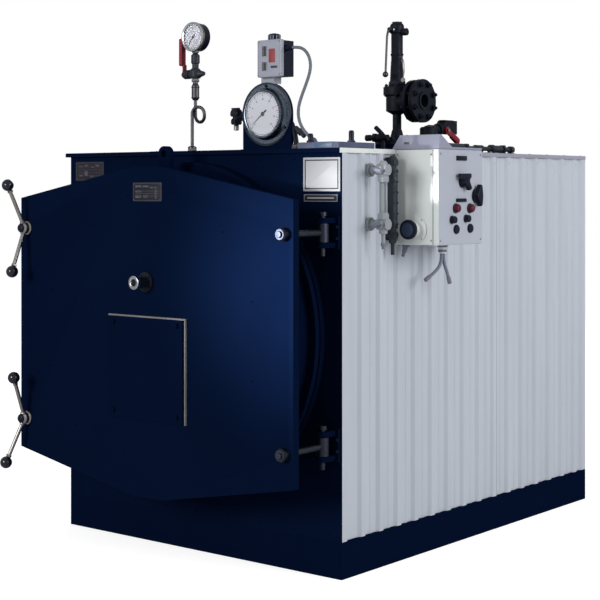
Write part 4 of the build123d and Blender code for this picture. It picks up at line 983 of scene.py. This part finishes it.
def add_switch_details():
    middle = Vector((353, -870, 1828.5))
    place = seat(middle, FRONT)
    dark = Piece()
    for low, high in ((1837, 1873), (1785, 1815)):
        dark.plate(shifted(place, 331.5 - middle.x, (low + high) / 2 - middle.z), 20, high - low, 1.0, 2, 0.3)
    dark.plate(shifted(place, 377 - middle.x, 1797 - middle.z), 30, 8, 1.0, 1, 0.3)
    dark.made("switch_windows", "print_black", "black_plastic")
    frames = Piece()
    for low, high in ((1837, 1873), (1785, 1815)):
        frames.frame_line(shifted(place, 331.5 - middle.x, (low + high) / 2 - middle.z),
                          24, high - low + 4, 2, 0, 1.6)
    frames.frame_line(place, 102, 125, 1.4, 0, 0.8)
    frames.made("switch_frames", "grey_plastic", "grey_plastic")
    red = Piece()
    red.plate(shifted(place, 367 - middle.x, 1838 - middle.z), 30, 50, 0.7, 3, 0.2)
    red.made("switch_mark", "print_red", "red_plastic")
    scale = Piece()
    for count, lowest, every in ((9, 1841, 4), (7, 1790, 3)):
        for k in range(count):
            scale.plate(shifted(place, 326 - middle.x, lowest - middle.z + 3.4 * k),
                        5 if k % every else 9, 0.8, 1.3, 0, 0, 0.9)
    scale.made("switch_scale", "dial_white", "cabinet_paint")
    screws = Piece()
    for x, z in corners(49, 60):
        screws.screw(shifted(place, x, z), 3.4)
    screws.lathe(seat((345, -830, 1920), UP), [(9, -0.5), (9, 1.5), (7, 2.5), (0, 2.5)], 6)
    screws.made("switch_screws", "seal_lead", "plain_steel")
    cap = Piece()
    for k in range(12):
        a = math.radians(30 * k)
        cap.tube([(345 + 22.6 * math.cos(a), -830 + 22.6 * math.sin(a), 1898.5),
                  (345 + 22.6 * math.cos(a), -830 + 22.6 * math.sin(a), 1914.5)], 1.3, 6)
    cap.made("switch_cap_grip", "grey_plastic", "grey_plastic")

    pipe = Piece()
    pipe.tube([(412, -828, 1606), (420, -829, 1601), (429, -830, 1588), (437, -830, 1568), (444, -831, 1546),
               (449, -832, 1524), (450, -832, 1501)], 9.5, 14)
    pipe.hexagon(seat((416, -828.5, 1604), (0.85, 0, -0.53)), 26, -6, 6)
    pipe.made("gauge_pipe", "black_iron", "black_iron")
    nut = Piece()
    nut.hexagon(seat((450, -832, TOP), UP), 30, 0, 17)
    nut.made("gauge_pipe_nut", "pipe_bronze", "plain_steel")
    fitting = Piece()
    fitting.lathe(seat((452, -838, 1577), (0.80, -0.12, -0.58)),
                  [(8, 0), (9, 2), (9, 18), (11.5, 20), (11.5, 36), (8, 38), (8, 56), (0, 57)], 24)
    fitting.made("drain_fitting", "coupling_dark", "black_iron")

    caps = Piece()
    for x, y, low, high in ((667, -792, 1521, 1563), (556, -883, 1521, 1552)):
        tall = high - low
        caps.lathe(seat((x, y, low), UP),
                   [(12.5, 0), (12.5, 5), (9.6, 8), (9.6, tall - 6), (7, tall), (0, tall)], 24)
        caps.hexagon(seat((x, y, low), UP), 27, 0, 6)
    caps.made("duct_caps", "black_plastic", "black_plastic")
    band = Piece()
    band.plate(seat((620, -890.4, 1510.5), FRONT), 80, 17, 1.2, 2, 0.4)
    band.plate(seat((620, -871, 1521), UP), 80, 32, 1.2, 2, 0.4)
    band.made("duct_band", "blue_band", "black_plastic")


# Control cabinet

LAMP_PLACES = ((-456, 1287), (-362, 1286))


def add_cabinet_details():
    lid = seat((883, 0, 0), RIGHT)
    knobs = Piece()
    for y, z in ((-480, 1246), (-388, 1249)):
        knobs.lathe(shifted(lid, y, z), [(15, 0), (15, 3), (13.5, 4), (13, 16), (11, 18), (0, 18)], 32)
    for y, z in ((-452, 1211), (-360, 1213)):
        knobs.lathe(shifted(lid, y, z), [(17, 0), (17, 4), (14.5, 7), (0, 7.5)], 32)
    knobs.plate(shifted(lid, -419, 1468), 63, 17, 6.5, 2, 1)
    knobs.plate(shifted(lid, -421, 1316), 61, 13, 6.5, 2, 1)
    knobs.lathe(shifted(lid, -413, 1382), [(21, 0), (20.6, 6), (18, 12), (14, 27), (0, 27)], 32)
    knobs.slab(shifted(lid, -419, 1386),
               [(-33, 26), (-33, 14), (-8, -2), (22, -34), (34, -28), (16, 0), (30, 16), (28, 27)],
               10, 27.5, 1.5)
    knobs.lathe(shifted(lid, -320, 1332), [(27, 0), (27, 8), (23, 12), (0, 12)], 40)
    knobs.slab(shifted(lid, -325, 1333),
               [(-22, 0), (4, -40), (14, -36), (19, 0), (13, 36), (4, 40)], 8, 26, 3)
    knobs = knobs.made("lid_knobs", "black_plastic", "black_plastic")
    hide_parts("cabinet_knobs")
    lenses = Piece()
    for y, z in LAMP_PLACES:
        lenses.lathe(shifted(lid, y, z),
                     [(15.5, 0), (15.5, 10), (14.6, 14), (11, 18), (6, 20), (0, 20.4)], 36)
    lenses.made("lamp_lenses", "lens_red", "red_plastic")
    bezels = Piece()
    for y, z in LAMP_PLACES:
        bezels.band(shifted(lid, y, z), [(16.2, 0), (18, 0), (18, 4), (16.4, 5.5)], 36)
    bezels.made("lid_bezels", "coupling_dark", "black_iron")
    screws = Piece()
    for y in (-553, -287):
        for z in (1172, 1482):
            screws.screw(shifted(lid, y, z), 4.2)
    for x in (702, 848):
        screws.screw(seat((x, -560, 1480), FRONT), 3.4)
        screws.screw(seat((x, -560, 1172), FRONT), 3.4)
    for y in (-556, -420, -290):
        screws.bolt(seat((700, y if y > -556 else -548, 1155), DOWN), 8, 4, False)
    screws.made("cabinet_screws", "duct_grey", "plain_steel")
    gasket = Piece()
    gasket.plate(seat((858.6, -419, 1327), RIGHT), 285, 340, 1.6, 7, 0)
    gasket.plate(seat((857.5, -560, 1327), FRONT), 5, 340, 0.8, 0, 0)
    gasket.made("lid_gasket", "coupling_dark", "black_plastic")

    # The lid's front edge in the pale cabinet paint, paler than the lid itself: a painted highlight along
    # that edge.
    edge = Piece()
    edge.plate(seat((871.5, -564, 1327), FRONT), 22, 342, 1.2, 2, 0.5)
    edge.made("lid_edge_highlight", "cabinet_paint", "cabinet_paint")

    face = seat((778, -566, 1211), FRONT)
    drum = Piece()
    drum.lathe(face, [(30, 27), (35, 29), (35.5, 31), (35.5, 40), (33, 43), (25, 43), (25, 41), (0, 41)], 56)
    drum.lathe(face, [(24, -6), (24, 29)], 40)
    drum = drum.made("isolator_drum", "black_plastic", "black_plastic")
    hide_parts("isolator_switch")
    neck = Piece()
    neck.lathe(face, [(52, -6), (52, 0), (33, 1), (29, 4), (28, 27), (0, 27)], 56)
    neck.made("isolator_neck", "cabinet_paint", "cabinet_paint")
    centre = Piece()
    centre.lathe(face, [(24.5, 40.5), (24.5, 42.5), (23, 43), (0, 43)], 48)
    centre.made("switch_centre", "blue_cap", "black_plastic")
    ring = Piece()
    for spot in around(face, 47, 4, 45):
        ring.screw(spot, 2.8)
    ring.made("switch_ring_screws", "seal_lead", "plain_steel")

    # A black plate where the hood's front has a slot: painted shade of the opening.
    hood = Piece()
    hood.plate(seat((742, -560, 1522), FRONT), 22, 8, 1.0, 3, 0.3)
    hood.made("hood_slot_painted_shade", "print_black", "black_plastic")
    glands = Piece()
    glands.hexagon(seat((775, -377, 1155), DOWN), 38, 0, 13)
    glands.hexagon(seat((775, -377, 1133), DOWN), 31, 0, 9)
    glands.hexagon(seat((724, -540, 1155), DOWN), 26, 0, 9)
    glands.lathe(seat((724, -540, 1147), (-0.35, 0, -0.94)), [(9, 0), (9, 20), (6, 24), (6, 38), (0, 39)], 24)
    glands.made("cabinet_glands", "lead_grey", "cabinet_paint")


# Level gauges

def add_level_gauge_details():
    nuts = Piece()
    for z in (1248.5, 1381):
        nuts.hexagon(seat((752, -718, z), UP), 38, 0, 21)
    for z in (1232, 1424):
        nuts.hexagon(seat((702, -718, z), RIGHT), 30, 0, 14)
        nuts.hexagon(seat((752, -738, z), FRONT), 26, -4, 8)
    nuts.made("glass_gauge_nuts", "dull_nickel", "chrome_fittings")
    wheels = Piece()
    for z, turn in ((1232, 20), (1424, -12)):
        wheels.lathe(seat((752, -744, z), FRONT), [(6, 0), (6, 14), (0, 14)], 20)
        wheels.plate(seat((752, -758, z), FRONT, turn), 46, 12, 7, 5, 1.5)
    wheels.lathe(seat((752, -718, 1160), DOWN), [(9, -6), (9, 4), (6, 6), (6, 16), (0, 16)], 20)
    wheels.made("glass_gauge_cocks", "lead_grey", "black_iron")
    guard = Piece()
    for x in (738, 766):
        guard.tube([(x, -718, 1264), (x, -718, 1390)], 2.4, 8)
    guard.made("glass_gauge_guards", "dull_nickel", "chrome_fittings")
    window = Piece()
    window.plate(seat((729, -611, 1321), RIGHT), 12, 190, 1.2, 4, 0.3)
    window.made("reflex_window", "glass", "chrome_fittings")
    bolts = Piece()
    for z in range(1230, 1421, 38):
        for y in (-621, -601):
            bolts.bolt(seat((729, y, z), RIGHT, z), 7, 4, False)
    for z in (1190, 1452):
        bolts.hexagon(seat((700, -611, z), RIGHT), 30, 0, 12)
    bolts.made("reflex_bolts", "gauge_green", "black_iron")


# Valves on the top

STOP_LEVER_SLANT = -29
VALVE_X = 303
OUTLET_HEIGHT = 1712
# Each circle of bolts: what is drawn, its middle and axis, radius, number, first angle, and the sizes
VALVE_BOLTS = (
    (Piece.stud, (VALVE_X, 0, 1554), UP, 76, 8, 22.5, (20, 21)),
    (Piece.hexagon, (VALVE_X, 0, 1522), DOWN, 76, 8, 22.5, (20, 0, 12)),
    (Piece.stud, (VALVE_X, 0, 1772), UP, 49, 6, 0, (12, 13, False)),
    (Piece.hexagon, (VALVE_X, 0, 1740), DOWN, 51, 6, 0, (11, 0, 7)),
    (Piece.stud, (435, 0, OUTLET_HEIGHT), RIGHT, 70, 8, 22.5, (20, 20)),
    (Piece.hexagon, (383, 0, OUTLET_HEIGHT), LEFT, 70, 8, 22.5, (20, 0, 12)),
    (Piece.lathe, (399, 0, OUTLET_HEIGHT), RIGHT, 70, 8, 22.5, ([(7, -1), (7, 21), (0, 21)], 12)),
    (Piece.stud, (400, 86, 1518), UP, 47, 4, 45, (16, 17)),
)


def add_valve_details():
    bolts = Piece()
    for draw, place, axis, radius, count, start, values in VALVE_BOLTS:
        for spot in around(seat(place, axis), radius, count, start):
            draw(bolts, spot, *values)
    bolts.made("valve_bolts", "black_iron", "black_iron")
    gasket = Piece()
    gasket.band(seat((VALVE_X, 0, 1537.2), UP), [(60, 0), (88, 0), (88, 1.6), (60, 1.6)], 48)
    gasket.made("valve_gasket", "seal_lead", "plain_steel")
    hexes = Piece()
    hexes.hexagon(seat((VALVE_X, 0, 1778), UP, 10), 66, 0, 18)
    hexes.hexagon(seat((VALVE_X, 0, 2030), UP, 10), 40, 0, 9)
    hexes.lathe(seat((VALVE_X, 0, 1900), UP), [(24.2, 0), (26.5, 2), (26.5, 8), (24.2, 10)], 40)
    hexes.made("bonnet_nuts", "black_iron", "black_iron")
    wire = Piece()
    wire.tube([(326, -6, 1894), (336, -7, 1888), (343, -8, 1872), (346, -8, 1852), (345, -8, 1832),
               (341, -8, 1815), (338, -8, 1806)], 1.8, 8)
    wire.tube([(326, -3, 1884), (333, -4, 1870), (338, -6, 1848), (341, -8, 1826), (340, -8, 1808)], 1.6, 8)
    wire.lathe(seat((339, -12, 1800), BACK), [(9, 0), (9.5, 1), (9.5, 6), (9, 7), (0, 7)], 24)
    wire.made("seal_wire", "seal_lead", "plain_steel")
    pin = Piece()
    for x, axis in ((290, LEFT), (316, RIGHT)):
        pin.lathe(seat((x, -40, 2004), axis), [(6, -1), (6, 2), (4, 3.2), (0, 3.4)], 20)
    pin.made("test_pin_ends", "plain_steel", "plain_steel")

    grip = Piece()
    along = Vector((-0.76, 0, 0.65)).normalized()
    for k in range(5):
        spot = Vector((322, -116, 1569)) + along * (14 + 9 * k)
        grip.band(seat(spot, along), [(7.8, 0), (9.4, 1), (9.4, 5), (7.8, 6)], 20)
    grip.made("vent_grip", "black_plastic", "black_plastic")
    vent = Piece()
    vent.hexagon(seat((318, -116, 1512), UP), 32, -2, 8)
    vent.hexagon(seat((270, -116, 1563), RIGHT), 34, 0, 14)
    vent.made("vent_nuts", "black_iron", "black_iron")

    head = Piece()
    for y in (174, 250):
        for z in (1598, 1628):
            if (y, z) != (174, 1628):
                head.screw(seat((420, y, z), RIGHT), 4)
    head.plate(seat((400, 216, 1640), UP), 28, 76, 2, 4, 1)
    head.lathe(seat((400, 86, 1610), UP), [(20, -2), (20, 2), (15, 5), (0, 6)], 6)
    head.made("stop_head_screws", "coupling_dark", "black_iron")
    nut = Piece()
    nut.hexagon(seat((429.4, 186, 1598), RIGHT), 15, -0.5, 7)
    nut.made("stop_lever_nut", "plain_steel", "plain_steel", "stop_lever")
    sleeve = Piece()
    lever = turned(seat((425, 186, 1598), RIGHT), STOP_LEVER_SLANT)
    sleeve.plate(shifted(lever, 66), 62, 25, 7, 9, 2, -7)
    sleeve.made("stop_lever_sleeve", "red_plastic", "red_plastic", "stop_lever")

    cock = Piece()
    x, y = 168, -838
    cock.hexagon(seat((x, y, 1598), UP), 37, 0, 15)
    cock.hexagon(seat((x, y, 1628), UP, 20), 43, 0, 15)
    cock.hexagon(seat((189, y, 1621), RIGHT), 26, 0, 14)
    cock.plate(seat((x, y - 4, 1652), UP), 38, 10, 5, 3, 1)
    cock.made("test_cock_nuts", "black_iron", "black_iron")
    plug = Piece()
    plug.lathe(seat((x, y, 1573), UP), [(6, 0), (9.6, 2), (9.6, 16), (6, 18)], 20)
    plug.made("test_cock_plug", "seal_lead", "plain_steel")

    unions = Piece()
    for base in (-170, -40, 150, 235):
        unions.hexagon(seat((655, base, 1517), BACK), 34, 0, 16)
    unions.made("pipe_unions", "coupling_dark", "black_iron")
    clips = Piece()
    for y in (-90, 120, 290):
        clips.plate(seat((655, y, TOP), UP), 52, 14, 3, 2, 0.6)
        for x in (635, 675):
            clips.screw(seat((x, y, TOP + 3), UP), 3)
    clips.made("pipe_clips", "plain_steel", "plain_steel")


# Studio: a white background for the camera, with a floor that keeps the shadow

WHITE = (1, 1, 1, 1)
FLOOR_GREY = (0.55, 0.55, 0.55, 1)
FLOOR_GLOW = 0.76


def camera_rays(tree):
    """One for what is seen directly or through glass, and zero for light on the boiler."""
    path = tree.nodes.new("ShaderNodeLightPath")
    seen = tree.nodes.new("ShaderNodeMath")
    seen.operation = "MAXIMUM"
    tree.links.new(path.outputs["Is Camera Ray"], seen.inputs[0])
    tree.links.new(path.outputs["Is Transmission Ray"], seen.inputs[1])
    return seen.outputs["Value"]


def add_floor():
    bpy.ops.mesh.primitive_plane_add(size=60, location=(0, 0, 0))
    floor = bpy.context.object
    floor.name = "floor"
    material = bpy.data.materials.new("floor")
    material.use_nodes = True
    tree = material.node_tree
    shader = tree.nodes["Principled BSDF"]
    shader.inputs["Base Color"].default_value = FLOOR_GREY
    shader.inputs["Roughness"].default_value = 0.95
    shader.inputs["Specular IOR Level"].default_value = 0.1
    glow = tree.nodes.new("ShaderNodeEmission")
    glow.inputs["Color"].default_value = WHITE
    strength = tree.nodes.new("ShaderNodeMath")
    strength.operation = "MULTIPLY"
    strength.inputs[1].default_value = FLOOR_GLOW
    tree.links.new(camera_rays(tree), strength.inputs[0])
    tree.links.new(strength.outputs["Value"], glow.inputs["Strength"])
    both = tree.nodes.new("ShaderNodeAddShader")
    tree.links.new(shader.outputs["BSDF"], both.inputs[0])
    tree.links.new(glow.outputs["Emission"], both.inputs[1])
    tree.links.new(both.outputs["Shader"], tree.nodes["Material Output"].inputs["Surface"])
    floor.data.materials.append(material)


def add_world(strength):
    world = bpy.data.worlds.new("studio")
    scene.world = world
    world.use_nodes = True
    tree = world.node_tree
    plain = tree.nodes["Background"]
    plain.inputs["Color"].default_value = WHITE
    plain.inputs["Strength"].default_value = strength
    seen = tree.nodes.new("ShaderNodeBackground")
    seen.inputs["Color"].default_value = WHITE
    seen.inputs["Strength"].default_value = 1.0
    mix = tree.nodes.new("ShaderNodeMixShader")
    tree.links.new(camera_rays(tree), mix.inputs["Fac"])
    tree.links.new(plain.outputs["Background"], mix.inputs[1])
    tree.links.new(seen.outputs["Background"], mix.inputs[2])
    tree.links.new(mix.outputs["Shader"], tree.nodes["World Output"].inputs["Surface"])


def add_lamp(name, place, target, power, size=None, cone=0.0):
    """An area lamp of a size, or a spot lamp with a cone in degrees."""
    data = bpy.data.lights.new(name, "AREA" if size else "SPOT")
    if size:
        data.shape = "RECTANGLE"
        data.size, data.size_y = size
    else:
        data.spot_size = math.radians(cone)
        data.spot_blend = 1.0
        data.shadow_soft_size = 0.25
    data.energy = power
    lamp = bpy.data.objects.new(name, data)
    scene.collection.objects.link(lamp)
    lamp.location = place
    lamp.rotation_euler = (Vector(target) - Vector(place)).to_track_quat("-Z", "Y").to_euler()


add_camera()
add_cords()
dress_nodes()
add_door_details()
add_clamp_details()
add_front_details()
add_tube_welds()
add_casing_details()
add_gauges()
add_small_gauge_stack()
add_switch_details()
add_cabinet_details()
add_level_gauge_details()
add_valve_details()
add_floor()
add_world(0.42)
add_lamp("door", (-2.2, -6.8, 1.5), (0.76, -1.14, 1.05), 6500, cone=9)
add_lamp("front", (-0.6, -7.5, 2.6), (0.6, -0.8, 1.0), 250, (2.2, 2.2))
add_lamp("side", (7.0, 0.3, 3.0), (0.7, 0.0, 0.8), 276, (3.5, 3.0))
add_lamp("back", (-5.0, 6.0, 3.6), (0.0, 0.9, 0.8), 150, (3.0, 3.0))
